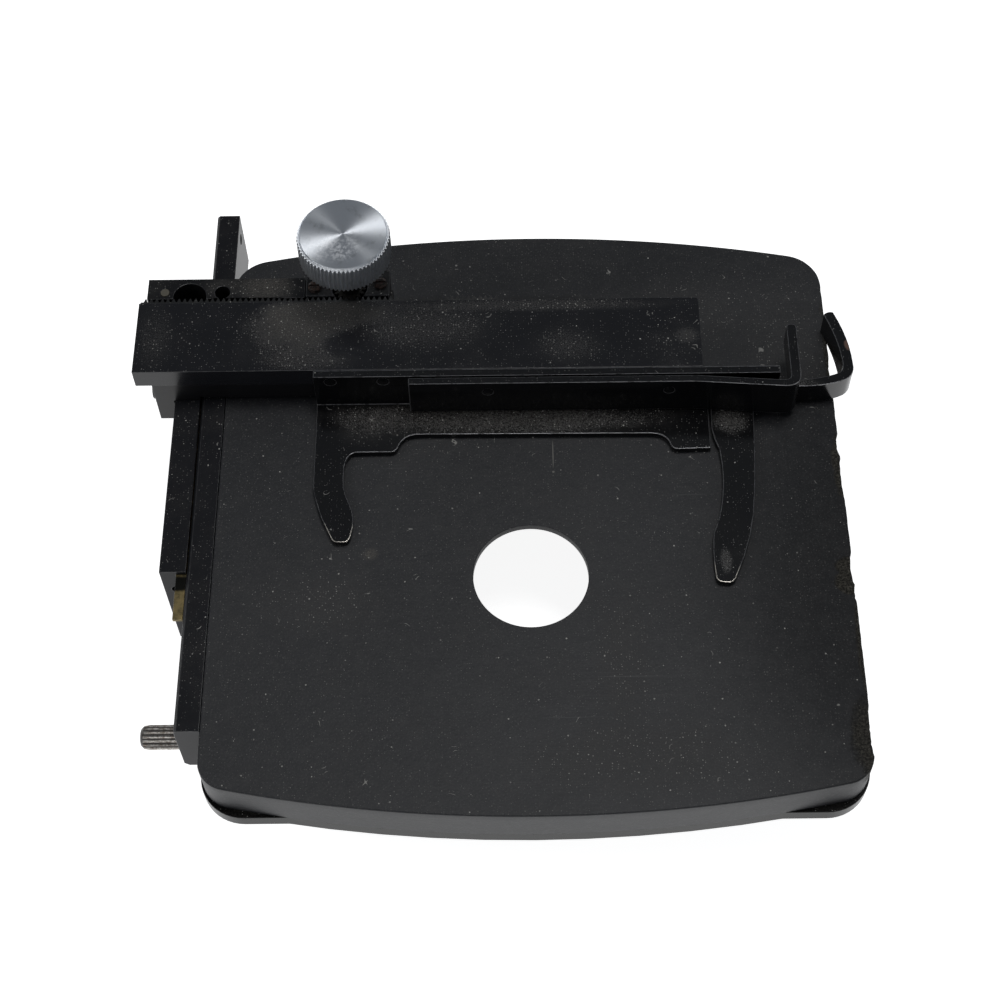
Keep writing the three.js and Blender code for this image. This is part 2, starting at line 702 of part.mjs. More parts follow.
function addBar() {
  const { left, right, front, back, bottom, top } = BAR;
  const play = 0.2;
  const lowest = DOVETAIL.bottom + play;
  const spread = (DOVETAIL.root - DOVETAIL.neck) / (BLOCK.top - DOVETAIL.bottom);
  const neck = DOVETAIL.neck - play;
  const rootHalf = neck + spread * (BLOCK.top - lowest);
  const section = [
    [front, bottom],
    [DOVETAIL.y - neck, bottom],
    [DOVETAIL.y - neck, BLOCK.top],
    [DOVETAIL.y - rootHalf, lowest],
    [DOVETAIL.y + rootHalf, lowest],
    [DOVETAIL.y + neck, BLOCK.top],
    [DOVETAIL.y + neck, bottom],
    [back, bottom],
    [back, top],
    [front, top],
  ];
  const pockets = [SPRING_POCKET, STUD_POCKET].map(([x0, x1]) =>
    box(x0, x1, front - 1, front + POCKET.depth, POCKET.bottom, POCKET.top),
  );
  const rivetHoles = RIVETS.xs.map((x) =>
    pointed(rod(RIVETS.r - 0.25, 0, 4, 12), [0, 1, 0], x, front - 1, RIVETS.z),
  );
  const anchorHole = pointed(rod(0.75, 0, 6, 12), [0, 1, 0], SPRING.anchor, front, STUDS.z);
  const worn = 0.8;
  const outside = new THREE.Shape();
  outside.moveTo(right, back - worn);
  outside.quadraticCurveTo(right, back, right - worn, back);
  outside.lineTo(right - worn, back + 1);
  outside.lineTo(right + 1, back + 1);
  outside.lineTo(right + 1, back - worn);
  outside.closePath();
  const corner = prismZ(outside, 0, top + 1, 4);
  add(
    "x_bar",
    build(prismX(section, left, right), {
      cut: [...pockets, ...rivetHoles, anchorHole, corner],
    }),
    MATERIALS.blackPaint,
  );

  const pitchLine = PINION.y - PITCH_R;
  const rootDepth = pitchLine - back - FIT;
  const teeth = rackOutline(RACK.left, RACK.right, PINION.x + TOOTH_PITCH / 2, rootDepth);
  add(
    "x_rack",
    prismZ(polygon(teeth.map(([x, out]) => [x, pitchLine + out])), RACK.bottom, RACK.top),
    MATERIALS.blackPaint,
  );
}

// ---------------------------------------------------------------- slide holder

/** Left finger and front lip of the fixed half, as one flat outline. */
function fixedFlangeOutline() {
  const shape = new THREE.Shape();
  const { left, right } = HOLDER;
  const edge = HOLDER.front + SHEET;
  shape.moveTo(36.2, edge);
  shape.lineTo(left, edge);
  shape.lineTo(left, 19.3);
  shape.quadraticCurveTo(-42.1, 16.4, -40.6, 12.2);
  shape.lineTo(-38.6, 7.9);
  shape.quadraticCurveTo(-38.2, 6.9, -37.2, 6.9);
  shape.lineTo(-36.1, 6.9);
  shape.quadraticCurveTo(-35.2, 6.9, -34.8, 8.4);
  shape.quadraticCurveTo(-33.7, 12.3, -35.4, 15.8);
  shape.quadraticCurveTo(-36.6, 18.2, -36.6, 20.8);
  shape.lineTo(-36.6, 24);
  shape.quadraticCurveTo(-36.3, 26.9, -34.6, 27.4);
  shape.lineTo(-27.3, 27.4);
  shape.quadraticCurveTo(-26.2, 27.6, -25.8, 29.2);
  shape.quadraticCurveTo(-24.9, 31.2, -22.5, 31.5);
  shape.lineTo(24.6, 31.2);
  shape.quadraticCurveTo(27.2, 31, 28, 29.2);
  shape.quadraticCurveTo(28.4, 27.4, 29.6, 27.4);
  shape.lineTo(36.2, 27.6);
  shape.closePath();
  return shape;
}

/** Lower tongue that runs on from the fixed half and folds back as the thumb tab. */
function thumbTabOutline() {
  const { right, front } = HOLDER;
  const shape = new THREE.Shape();
  shape.moveTo(right - 1, front);
  shape.lineTo(55, front);
  shape.quadraticCurveTo(60.8, 39, 63.7, 40.5);
  shape.quadraticCurveTo(65.7, 41.8, 65.4, 44.4);
  shape.quadraticCurveTo(65.3, 50.6, 62.6, 57.1);
  shape.quadraticCurveTo(61.4, 57.4, 60.6, 56.5);
  shape.quadraticCurveTo(63.1, 50, 63.3, 44.4);
  shape.quadraticCurveTo(63.4, 42.9, 62.5, 42.2);
  shape.quadraticCurveTo(60, 41, 55, front + SHEET);
  shape.lineTo(right - 1, front + SHEET);
  shape.closePath();
  return shape;
}

function addFixedHolder() {
  const { left, right, front, bottom, top, flange } = HOLDER;
  const back = front + SHEET;
  const wall = box(left, right, front, back, bottom, top);
  const flat = prismZ(fixedFlangeOutline(), bottom, flange, 4);
  const tab = prismZ(thumbTabOutline(), bottom, TONGUE_TOP, 6);
  const slots = STUDS.xs.map((x) =>
    box(
      x - STUDS.r - RUN,
      x + JAW_TRAVEL + STUDS.r + RUN,
      front - 1,
      back + 1,
      STUDS.z - STUDS.r - RUN,
      STUDS.z + STUDS.r + RUN,
    ),
  );
  const rivetHoles = RIVETS.xs.map((x) =>
    pointed(rod(RIVETS.r + FIT, 0, 4, 16), [0, 1, 0], x, front - 1, RIVETS.z),
  );
  add(
    "slide_holder_fixed",
    build(wall, { join: [flat, tab], cut: [...slots, ...rivetHoles] }),
    MATERIALS.blackSheet,
  );

  RIVETS.xs.forEach((x, i) => {
    const body = turned([
      [0, -SHEET - 2.6],
      [RIVETS.r - 0.3, -SHEET - 2.6],
      [RIVETS.r - 0.3, -SHEET],
      [RIVETS.r, -SHEET],
      [RIVETS.r, 0],
      [0, 0.1],
    ], 16);
    add(
      `holder_rivet_${i + 1}`,
      pointed(body, [0, -1, 0], x, front, RIVETS.z),
      MATERIALS.blackScrew,
    );
  });
}

/** Plan outline of the sprung half: straight strip, slight set forward, end bent to a tab. */
function jawOutline() {
  const { left, front, corner } = JAW;
  const back = front + JAW_SHEET;
  const set = 1.3;
  const bend = 33;
  const tabEnd = 50.4;
  const tabThickness = 2;
  const shape = new THREE.Shape();
  shape.moveTo(left, front);
  shape.lineTo(bend, front);
  shape.quadraticCurveTo(43, front - 0.7, 50.6, front - set);
  shape.quadraticCurveTo(corner, front - set, corner, front - set + 2.8);
  shape.lineTo(corner, tabEnd - 1);
  shape.quadraticCurveTo(corner, tabEnd, corner - 1, tabEnd);
  shape.quadraticCurveTo(corner - tabThickness, tabEnd, corner - tabThickness, tabEnd - 1);
  shape.lineTo(corner - tabThickness, back - set + 1);
  shape.quadraticCurveTo(corner - tabThickness, back - set + 0.1, 50.4, back - set);
  shape.quadraticCurveTo(43, back - 0.7, bend, back);
  shape.lineTo(left, back);
  shape.closePath();
  return shape;
}

/** Right finger, as a flat outline that starts under the sprung strip. */
function movingFingerOutline() {
  const start = JAW.front + 0.3;
  const shape = new THREE.Shape();
  shape.moveTo(36.7, start);
  shape.lineTo(36.6, 32.4);
  shape.quadraticCurveTo(36.8, 29.8, 37.8, 27.4);
  shape.quadraticCurveTo(38.5, 21.5, 37.6, 15.5);
  shape.quadraticCurveTo(36.9, 11.2, 35.5, 8.1);
  shape.quadraticCurveTo(34.9, 4.6, 35.3, -1.2);
  shape.quadraticCurveTo(35.4, -2.6, 36.6, -2.7);
  shape.lineTo(37.8, -2.8);
  shape.quadraticCurveTo(38.6, -2.7, 39.1, -1.8);
  shape.quadraticCurveTo(43.4, 7.2, 44.1, 17);
  shape.quadraticCurveTo(45, 26, 45.3, start);
  shape.closePath();
  return shape;
}

function addSprungJaw() {
  const { front, bottom, top, corner } = JAW;
  const back = front + JAW_SHEET;
  const strip = prismZ(jawOutline(), bottom, top, 5);
  const root = box(36.9, 44.9, front + 0.1, back - 0.8, HOLDER.bottom, bottom + 1);
  const finger = prismZ(movingFingerOutline(), HOLDER.bottom, HOLDER.flange, 4);
  const crossing = box(corner - 3.3, corner + 1, front + 0.6, 60, 0, TONGUE_TOP + 0.3);
  const studHoles = STUDS.xs.map((x) =>
    pointed(rod(STUDS.r + FIT, 0, 4, 16), [0, 1, 0], x, front - 1, STUDS.z),
  );
  add(
    "slide_holder_jaw",
    build(strip, { join: [root, finger], cut: [crossing, ...studHoles] }),
    MATERIALS.blackSheet,
  );

  STUDS.xs.forEach((x, i) => {
    const tail = BAR.front + 0.4 - front;
    const body = turned([
      [0, -tail - 0.8],
      [STUDS.head, -tail - 0.8],
      [STUDS.head, -tail],
      [STUDS.r, -tail],
      [STUDS.r, 0],
      [0, 0.1],
    ], 16);
    add(`jaw_stud_${i + 1}`, pointed(body, [0, -1, 0], x, front, STUDS.z), MATERIALS.blackScrew);
  });
}

/** Closing spring of the jaw, hooked between a pin in the bar and the left stud. */
function addSpring() {
  const start = SPRING.anchor + 1.2;
  const end = STUDS.xs[0] - 1.8;
  class Helix extends THREE.Curve {
    getPoint(t, target = new THREE.Vector3()) {
      const angle = t * SPRING.turns * 2 * Math.PI;
      const y = SPRING.y + SPRING.r * Math.cos(angle);
      const z = STUDS.z + SPRING.r * Math.sin(angle);
      return target.set(start + (end - start) * t, y, z);
    }
  }
  const wire = new THREE.Shape();
  wire.absarc(0, 0, SPRING.wire, 0, 2 * Math.PI, false);
  const coil = new THREE.ExtrudeGeometry(wire, {
    steps: SPRING.turns * 9,
    curveSegments: 2,
    extrudePath: new Helix(),
  });
  add("jaw_spring", coil, MATERIALS.steel);

  const pinLength = 5;
  const pin = pointed(
    rod(0.65, 0, pinLength, 12),
    [0, 1, 0],
    SPRING.anchor,
    BAR.front + 0.6,
    STUDS.z,
  );
  add("spring_anchor_pin", pin, MATERIALS.steel);
}

// ---------------------------------------------------------------- assembly

addStagePlate();
addRail();
addStopScrew();
addCarriage();
addGuideBlock();
addPinionHousing();
addPinionAndKnob();
addBar();
addFixedHolder();
addSprungJaw();
addSpring();

stage.position.set(-PAD.x, -PAD.y, -PAD.bottom);

export default stage;
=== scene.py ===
"""Looks of a microscope's mechanical stage: black hard rubber plate, lacquered slides, chromed knob."""

import json
import math

import bmesh
import bpy
from mathutils import Matrix, Vector, noise


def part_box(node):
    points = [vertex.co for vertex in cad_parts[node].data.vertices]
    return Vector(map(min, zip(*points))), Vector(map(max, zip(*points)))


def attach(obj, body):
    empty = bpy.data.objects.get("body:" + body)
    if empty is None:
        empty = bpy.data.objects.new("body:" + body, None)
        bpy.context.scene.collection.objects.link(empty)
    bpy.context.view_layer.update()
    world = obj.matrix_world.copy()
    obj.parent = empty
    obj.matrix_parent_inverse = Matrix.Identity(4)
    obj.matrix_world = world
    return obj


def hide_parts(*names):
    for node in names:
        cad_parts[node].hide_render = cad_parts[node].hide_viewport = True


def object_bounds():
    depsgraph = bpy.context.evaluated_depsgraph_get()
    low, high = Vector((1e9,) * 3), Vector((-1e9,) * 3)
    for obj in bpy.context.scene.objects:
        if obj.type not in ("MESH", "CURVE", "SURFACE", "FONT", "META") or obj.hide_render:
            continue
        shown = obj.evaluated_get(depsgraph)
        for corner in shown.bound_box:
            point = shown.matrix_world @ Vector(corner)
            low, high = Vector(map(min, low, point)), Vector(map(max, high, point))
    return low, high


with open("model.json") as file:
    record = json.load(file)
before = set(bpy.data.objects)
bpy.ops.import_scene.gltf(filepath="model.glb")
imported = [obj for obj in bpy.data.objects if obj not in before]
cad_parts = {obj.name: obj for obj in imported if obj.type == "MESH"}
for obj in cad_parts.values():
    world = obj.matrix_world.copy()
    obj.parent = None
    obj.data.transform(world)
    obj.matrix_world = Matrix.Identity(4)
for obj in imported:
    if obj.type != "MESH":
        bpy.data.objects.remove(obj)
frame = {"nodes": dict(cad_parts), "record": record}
cad_low, cad_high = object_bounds()
NODES = frame["nodes"]
RECORD = frame["record"]

# The optical axis where it meets the stage surface, in the row frame. Places on the part are in
# millimetres from there, and at() turns them into metres.
AXIS = Vector((-0.0003, -0.056, 0.016))
MM = 0.001


def at(x, y, z):
    return AXIS + Vector((x, y, z)) * MM


def corners_of(node):
    """Lowest and highest corner of a CAD node, in millimetres from the optical axis."""
    low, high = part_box(node)
    return [(Vector(corner) - AXIS) / MM for corner in (low, high)]


# ---------------------------------------------------------------- camera, floor and light

CAMERA_PLACE = (-4.054, -175.476, 322.424)
CAMERA_YAW = -0.529
CAMERA_DOWN = 59.175
CAMERA_ROLL = -1.084
CAMERA_LENS = 68.76


def add_camera():
    """A camera in front of the stage, looking down at it and back."""
    data = bpy.data.cameras.new("camera")
    data.lens = CAMERA_LENS
    data.sensor_width = 36
    data.clip_start, data.clip_end = 0.01, 10
    camera = bpy.data.objects.new("camera", data)
    bpy.context.collection.objects.link(camera)
    yaw, down, roll = (math.radians(v) for v in (CAMERA_YAW, CAMERA_DOWN, CAMERA_ROLL))
    ahead = Vector(
        (math.sin(yaw) * math.cos(down), math.cos(yaw) * math.cos(down), -math.sin(down))
    )
    right = Vector((math.cos(yaw), -math.sin(yaw), 0))
    up = right.cross(ahead)
    side = right * math.cos(roll) + up * math.sin(roll)
    top = up * math.cos(roll) - right * math.sin(roll)
    turn = Matrix((side, top, -ahead)).transposed()
    camera.matrix_world = Matrix.Translation(at(*CAMERA_PLACE)) @ turn.to_4x4()
    bpy.context.scene.camera = camera


def add_light(name, place, aim, size, power, colour=(1, 1, 1)):
    data = bpy.data.lights.new(name, "AREA")
    data.shape = "RECTANGLE"
    data.size, data.size_y = size
    data.energy = power
    data.color = colour
    light = bpy.data.objects.new(name, data)
    bpy.context.collection.objects.link(light)
    light.location = place
    light.rotation_euler = (Vector(aim) - Vector(place)).to_track_quat("-Z", "Y").to_euler()


def add_studio():
    """Lit white floor under the part, dim surroundings and soft lights."""
    bpy.ops.mesh.primitive_plane_add(size=16, location=(0, 0, cad_low.z - 0.0002))
    floor = bpy.context.object
    floor.name = "floor"
    material = bpy.data.materials.new("floor")
    material.use_nodes = True
    shader = material.node_tree.nodes["Principled BSDF"]
    shader.inputs["Base Color"].default_value = (0.8, 0.8, 0.8, 1)
    shader.inputs["Roughness"].default_value = 0.9
    shader.inputs["Emission Color"].default_value = (1, 1, 1, 1)
    shader.inputs["Emission Strength"].default_value = 0.9
    floor.data.materials.append(material)

    world = bpy.data.worlds.new("studio")
    bpy.context.scene.world = world
    world.use_nodes = True
    world.node_tree.nodes["Background"].inputs["Color"].default_value = (0.86, 0.92, 1, 1)
    world.node_tree.nodes["Background"].inputs["Strength"].default_value = 0.17

    centre = (0, -0.04, 0)
    add_light("overhead", (0.1, 0.1, 1.0), centre, (0.35, 0.3), 2.6)
    add_light("left", (-0.95, -0.1, 0.75), centre, (0.35, 0.5), 2.4, (1, 0.99, 0.97))
    add_light("front", (-0.3, -0.95, 0.55), centre, (0.9, 0.25), 1.0, (1, 0.98, 0.96))


# ---------------------------------------------------------------- shader helpers


class Shader:
    """A material's node tree, with one short call for each kind of node it uses."""

    def __init__(self, name):
        self.material = bpy.data.materials.new(name)
        self.material.use_nodes = True
        self.tree = self.material.node_tree
        self.surface = self.tree.nodes["Principled BSDF"]
        self.place = self.tree.nodes.new("ShaderNodeTexCoord").outputs["Object"]
        self.ragged_border = None

    def _put(self, socket, value):
        if isinstance(value, bpy.types.NodeSocket):
            self.tree.links.new(value, socket)
        elif isinstance(value, (tuple, list)) and socket.type == "RGBA":
            socket.default_value = (*value, 1) if len(value) == 3 else value
        else:
            socket.default_value = value

    def set(self, **values):
        """Sets the surface's own sockets: base_color=..., roughness=..."""
        for key, value in values.items():
            socket = key.replace("_", " ").title().replace("Ior", "IOR")
            self._put(self.surface.inputs[socket], value)

    def scaled(self, stretch=(1, 1, 1), turn=(0, 0, 0), shift=(0, 0, 0), point=None):
        node = self.tree.nodes.new("ShaderNodeMapping")
        self._put(node.inputs["Vector"], point or self.place)
        node.inputs["Scale"].default_value = stretch
        node.inputs["Rotation"].default_value = [math.radians(a) for a in turn]
        node.inputs["Location"].default_value = shift
        return node.outputs["Vector"]

    def noise(self, size, detail=3, rough=0.55, point=None):
        """Noise from 0 to 1 whose features are about size millimetres across."""
        node = self.tree.nodes.new("ShaderNodeTexNoise")
        self._put(node.inputs["Vector"], point or self.place)
        node.inputs["Scale"].default_value = 1000 / size
        node.inputs["Detail"].default_value = detail
        node.inputs["Roughness"].default_value = rough
        return node.outputs["Fac"]

    def scatter(self, size, seed=0, wobble=0.0):
        """Points about size millimetres apart in plan: distance in cells, and their random colour."""
        point = self.scaled(shift=(seed * 0.37, seed * 0.21, 0))
        if wobble:
            point = self.shifted(point, size * 0.4, wobble * size * MM)
        node = self.tree.nodes.new("ShaderNodeTexVoronoi")
        node.voronoi_dimensions = "2D"
        self._put(node.inputs["Vector"], point)
        node.inputs["Scale"].default_value = 1000 / size
        return node.outputs["Distance"], self.parts(node.outputs["Color"])

    def shifted(self, point, size, amount):
        """The point moved about by noise of that size, by up to amount metres."""
        node = self.tree.nodes.new("ShaderNodeTexNoise")
        self._put(node.inputs["Vector"], point)
        node.inputs["Scale"].default_value = 1000 / size
        node.inputs["Detail"].default_value = 1
        centred = self.vector("SUBTRACT", node.outputs["Color"], (0.5, 0.5, 0.5))
        scaled = self.vector("MULTIPLY", centred, (2 * amount,) * 3)
        return self.vector("ADD", point, scaled)

    def vector(self, kind, a, b):
        node = self.tree.nodes.new("ShaderNodeVectorMath")
        node.operation = kind
        self._put(node.inputs[0], a)
        self._put(node.inputs[1], b)
        return node.outputs["Vector"]

    def length(self, vector):
        node = self.tree.nodes.new("ShaderNodeVectorMath")
        node.operation = "LENGTH"
        self._put(node.inputs[0], vector)
        return node.outputs["Value"]

    def math(self, kind, a, b=0.0, clamp=False):
        node = self.tree.nodes.new("ShaderNodeMath")
        node.operation = kind
        node.use_clamp = clamp
        self._put(node.inputs[0], a)
        self._put(node.inputs[1], b)
        return node.outputs[0]

    def times(self, *values):
        result = values[0]
        for value in values[1:]:
            result = self.math("MULTIPLY", result, value)
        return result

    def plus(self, *values):
        result = values[0]
        for value in values[1:]:
            result = self.math("ADD", result, value, clamp=True)
        return result

    def step(self, value, low, high, to=(0, 1)):
        """Smooth step of value from low to high."""
        node = self.tree.nodes.new("ShaderNodeMapRange")
        node.interpolation_type = "SMOOTHSTEP"
        self._put(node.inputs["Value"], value)
        node.inputs["From Min"].default_value = low
        node.inputs["From Max"].default_value = high
        node.inputs["To Min"].default_value = to[0]
        node.inputs["To Max"].default_value = to[1]
        return node.outputs["Result"]

    def mix(self, a, b, share):
        """Colour a where share is 0, b where it is 1."""
        node = self.tree.nodes.new("ShaderNodeMix")
        node.data_type = "RGBA"
        self._put(node.inputs[0], share)
        self._put(node.inputs[6], a)
        self._put(node.inputs[7], b)
        return node.outputs[2]

    def parts(self, vector):
        node = self.tree.nodes.new("ShaderNodeSeparateXYZ")
        self._put(node.inputs[0], vector)
        return node.outputs

    def facing_up(self, low=0.6, high=0.95):
        """1 on faces that look up, where dust settles."""
        geometry = self.tree.nodes.new("ShaderNodeNewGeometry")
        return self.step(self.parts(geometry.outputs["Normal"])[2], low, high)

    def near(self, centre, size, soft=0.35, ragged=0.0):
        """1 inside an ellipsoid about a place, falling to 0 outside, all in millimetres."""
        place = at(*centre)
        stretch = [1 / (s * MM) for s in size]
        shift = [-p * k for p, k in zip(place, stretch)]
        distance = self.length(self.scaled(stretch=stretch, shift=shift))
        if ragged:
            distance = self.math("ADD", distance, self.times(self.swing(), 2 * ragged))
        return self.step(distance, 1, soft)

    def swing(self):
        """Noise about zero for ragged borders. One node serves the whole material."""
        if self.ragged_border is None:
            value = self.noise(4, detail=5, rough=0.7)
            self.ragged_border = self.math("SUBTRACT", value, 0.5)
        return self.ragged_border

    def from_axis(self, x, y):
        """Distance in millimetres from an upright axis."""
        place = at(x, y, 0)
        point = self.scaled(
            stretch=(1 / MM, 1 / MM, 0), shift=(-place.x / MM, -place.y / MM, 0)
        )
        return self.length(point)

    def bump(self, height, depth, under=None):
        """Surface relief: height from 0 to 1, depth in millimetres."""
        node = self.tree.nodes.new("ShaderNodeBump")
        node.inputs["Strength"].default_value = 1
        node.inputs["Distance"].default_value = depth * MM
        self._put(node.inputs["Height"], height)
        if under is not None:
            self._put(node.inputs["Normal"], under)
        return node.outputs["Normal"]

    def specks(self, size, share, widest, seed=0):
        """Scattered specks of random width and strength, size and widest in millimetres."""
        distance, random = self.scatter(size, seed, wobble=0.04)
        held = self.step(random[0], 1 - share, 1.02 - share)
        reach = self.times(random[1], random[1], widest / size)
        dot = self.step(self.math("SUBTRACT", distance, reach), 0.03 / size, 0)
        return self.times(held, dot, self.step(random[2], 0, 1, to=(0.35, 1)))

    def fibres(self, size, share, reach, width, seed=0):
        """Short curled fibres: thin level lines of a noise, kept only round scattered points."""
        distance, random = self.scatter(size, seed)
        held = self.math("GREATER_THAN", random[0], 1 - share)
        inside = self.step(distance, reach / size, reach * 0.6 / size)
        value = self.noise(reach * 1.6, detail=0, point=self.scaled(shift=(seed * 0.9, 0, 0)))
        off = self.math("ABSOLUTE", self.math("SUBTRACT", value, 0.5))
        line = self.step(off, width / reach * 0.5, width / reach * 0.2)
        return self.times(held, inside, line)

    def scratches(self, angle, length, width, share, seed=0):
        """Fine straight marks at one angle, length and width in millimetres."""
        point = self.scaled(
            stretch=(width / length, 1, 1),
            turn=(0, 0, angle),
            shift=(seed * 0.71, seed * 0.43, 0),
        )
        value = self.noise(width * 14, detail=0, point=point)
        line = self.step(self.math("ABSOLUTE", self.math("SUBTRACT", value, 0.5)), 0.01, 0.002)
        patches = self.step(self.noise(length * 1.1, detail=1), 1 - share, 1.08 - share)
        return self.times(line, patches)


DUST = (0.105, 0.098, 0.088)
LINT = (0.46, 0.45, 0.42)
RUST = (0.11, 0.055, 0.035)


def dusty(shader, colour, roughness, film=0.1, specks=1.0, patches=(), wiped=()):
    """Colour and roughness of a dark surface with settled dust.

    The dust is heavier inside the patches and almost gone inside the wiped places.
    """
    up = shader.facing_up()
    cloud = shader.step(shader.noise(16, detail=6, rough=0.65), 0.42, 0.75)
    amount = shader.times(cloud, film)
    for centre, size, strength in patches:
        inside = shader.near(centre, size, soft=0.2, ragged=0.35)
        amount = shader.plus(amount, shader.times(inside, strength))
    for centre, size in wiped:
        inside = shader.near(centre, size, soft=0.3, ragged=0.3)
        amount = shader.times(amount, shader.step(inside, 0, 1, to=(1, 0.12)))
    grain = shader.step(shader.noise(0.3, detail=4, rough=0.85), 0.44, 0.62, to=(0.25, 1))
    settled = shader.times(amount, grain, up)
    more = shader.step(amount, 0.02, 0.25, to=(0.3, 1))
    dots = shader.plus(
        shader.specks(1.8, 0.2, 0.16, seed=1),
        shader.times(shader.specks(0.5, 0.42, 0.1, seed=2), more),
        shader.times(shader.fibres(8, 0.3, 0.8, 0.045, seed=3), 0.6),
    )
    dots = shader.times(dots, up, specks)
    mixed = shader.mix(colour, DUST, settled)
    mixed = shader.mix(mixed, LINT, dots)
    rough = shader.math("MULTIPLY_ADD", settled, 0.6)
    rough.node.inputs[2].default_value = roughness
    rough = shader.plus(rough, shader.times(dots, 0.4))
    return mixed, rough, settled, dots


# ---------------------------------------------------------------- materials


def plate_material():
    """Worn satin hard rubber: mottled grey-black, fine grain, dust, chipped right edge, and painted
    shade towards the right and back.
    """
    shader = Shader("hard_rubber")
    wide = shader.step(shader.noise(38, detail=5, rough=0.6), 0.3, 0.7)
    colour = shader.mix((0.0060, 0.0067, 0.0090), (0.0120, 0.0128, 0.0152), wide)
    # Painted shade: a darker colour and less gloss towards the plate's right side and, more faintly,
    # its back.
    wear_and_painted_light = shader.plus(
        shader.near((70, 0, 0), (52, 85, 30), soft=0.15, ragged=0.1),
        shader.times(shader.near((10, 90, 0), (75, 48, 30), soft=0.2, ragged=0.1), 0.35),
    )
    colour = shader.mix(colour, (0.005, 0.0053, 0.0062), shader.times(wear_and_painted_light, 0.8))
    blotch = shader.step(shader.noise(2.6, detail=6, rough=0.8), 0.42, 0.68)
    colour = shader.mix(colour, (0.026, 0.026, 0.0265), shader.times(blotch, 0.35))
    pores = shader.step(shader.noise(0.42, detail=4, rough=0.85), 0.53, 0.66)
    colour = shader.mix(colour, (0.085, 0.085, 0.087), shader.times(pores, 0.32))
    mixed, rough, _, dots = dusty(
        shader,
        colour,
        0.5,
        film=0.12,
        specks=0.8,
        patches=[
            ((-31, 5, 0), (2.2, 1.8, 6), 1.0),
            ((-40, -6, 0), (16, 9, 20), 0.2),
            ((17, -18, 0), (7, 20, 20), 0.22),
            ((20, -38, 0), (30, 9, 20), 0.22),
            ((34, 62, 0), (30, 12, 20), 0.14),
            ((53, 50, 0), (12, 14, 20), 0.18),
        ],
    )
    broken = shader.plus(
        shader.near((61.4, 1.2, -1), (3.2, 2.6, 5), soft=0.75, ragged=0.3),
        shader.near((61.2, -2.2, -1), (3.6, 3.0, 5), soft=0.75, ragged=0.3),
        shader.times(shader.near((61.5, -35, -1), (4, 10, 5), soft=0.5, ragged=0.5), 0.8),
        shader.times(shader.near((61.8, 24, -1), (2, 9, 5), soft=0.6, ragged=0.5), 0.9),
        shader.times(shader.near((62.2, -16, -1), (1.6, 12, 5), soft=0.5, ragged=0.5), 0.8),
        shader.times(shader.near((62.2, 52, -1), (1.6, 16, 5), soft=0.5, ragged=0.5), 0.7),
    )
    crumb = shader.step(shader.noise(0.5, detail=4, rough=0.75), 0.35, 0.68)
    raw = shader.mix((0.012, 0.011, 0.009), (0.13, 0.12, 0.10), crumb)
    mixed = shader.mix(mixed, raw, broken)
    marks = shader.plus(
        shader.times(shader.scratches(12, 26, 0.06, 0.34, seed=1), 0.5),
        shader.times(shader.scratches(-58, 18, 0.05, 0.25, seed=2), 0.35),
        shader.times(shader.scratches(38, 14, 0.05, 0.25, seed=3), 0.35),
    )
    marks = shader.times(marks, shader.facing_up())
    mixed = shader.mix(mixed, (0.07, 0.07, 0.072), marks)
    index = shader.plus(
        shader.near((4.8, 27.4, 0), (0.13, 3.6, 3), soft=0.7),
        shader.near((4.8, 23.3, 0), (0.28, 0.28, 3), soft=0.7),
    )
    mixed = shader.mix(mixed, (0.16, 0.155, 0.14), shader.times(index, 0.75))
    normal = shader.bump(shader.noise(0.5, detail=4, rough=0.65), 0.03)
    normal = shader.bump(shader.noise(4, detail=3), 0.05, normal)
    normal = shader.bump(shader.times(broken, crumb), 0.3, normal)
    normal = shader.bump(dots, 0.04, normal)
    shader.set(
        base_color=mixed,
        roughness=shader.plus(rough, shader.times(broken, 0.4)),
        specular_ior_level=shader.step(wear_and_painted_light, 0, 1, to=(0.42, 0.2)),
        normal=normal,
    )
    return shader.material


def plate_side_material():
    """The plate's polished side: glossier, with faint streaks and rubbed patches."""
    shader = Shader("hard_rubber_side")
    streak = shader.noise(1.2, detail=3, point=shader.scaled(stretch=(1, 1, 0.08)))
    colour = shader.mix((0.006, 0.0068, 0.0066), (0.017, 0.0175, 0.016), streak)
    wear = shader.step(shader.noise(2.4, detail=6, rough=0.8), 0.5, 0.66)
    colour = shader.mix(colour, (0.06, 0.06, 0.055), shader.times(wear, 0.4))
    broken = shader.near((61.5, -2, -3), (4, 60, 12), soft=0.6, ragged=0.4)
    crumb = shader.noise(0.5, detail=4, rough=0.75)
    colour = shader.mix(colour, (0.035, 0.032, 0.028), shader.times(broken, crumb))
    rough = shader.step(shader.noise(3, detail=4), 0.3, 0.7, to=(0.16, 0.28))
    normal = shader.bump(shader.noise(0.6, detail=3), 0.012)
    normal = shader.bump(shader.times(broken, crumb), 0.35, normal)
    shader.set(
        base_color=colour,
        roughness=shader.plus(rough, shader.times(broken, 0.45)),
        specular_ior_level=shader.step(wear, 0, 1, to=(0.38, 0.5)),
        normal=normal,
    )
    return shader.material


def rim_material():
    """The plate's rounded rim with a dull shine, its colour mottled lighter as a painted highlight."""
    shader = Shader("rim_painted_highlight")
    # Painted highlight: the rim's colour is mottled lighter all along it.
    wear_and_painted_light = shader.step(shader.noise(1.1, detail=5, rough=0.75), 0.3, 0.68)
    colour = shader.mix((0.02, 0.02, 0.021), (0.16, 0.157, 0.15), wear_and_painted_light)
    worn = shader.near((61.8, -6, 0), (4, 56, 5), soft=0.7, ragged=0.3)
    colour = shader.mix(colour, (0.03, 0.028, 0.024), worn)
    shader.set(
        base_color=colour,
        roughness=shader.plus(0.3, shader.times(worn, 0.5)),
        normal=shader.bump(shader.noise(0.4, detail=4, rough=0.7), 0.06),
    )
    return shader.material


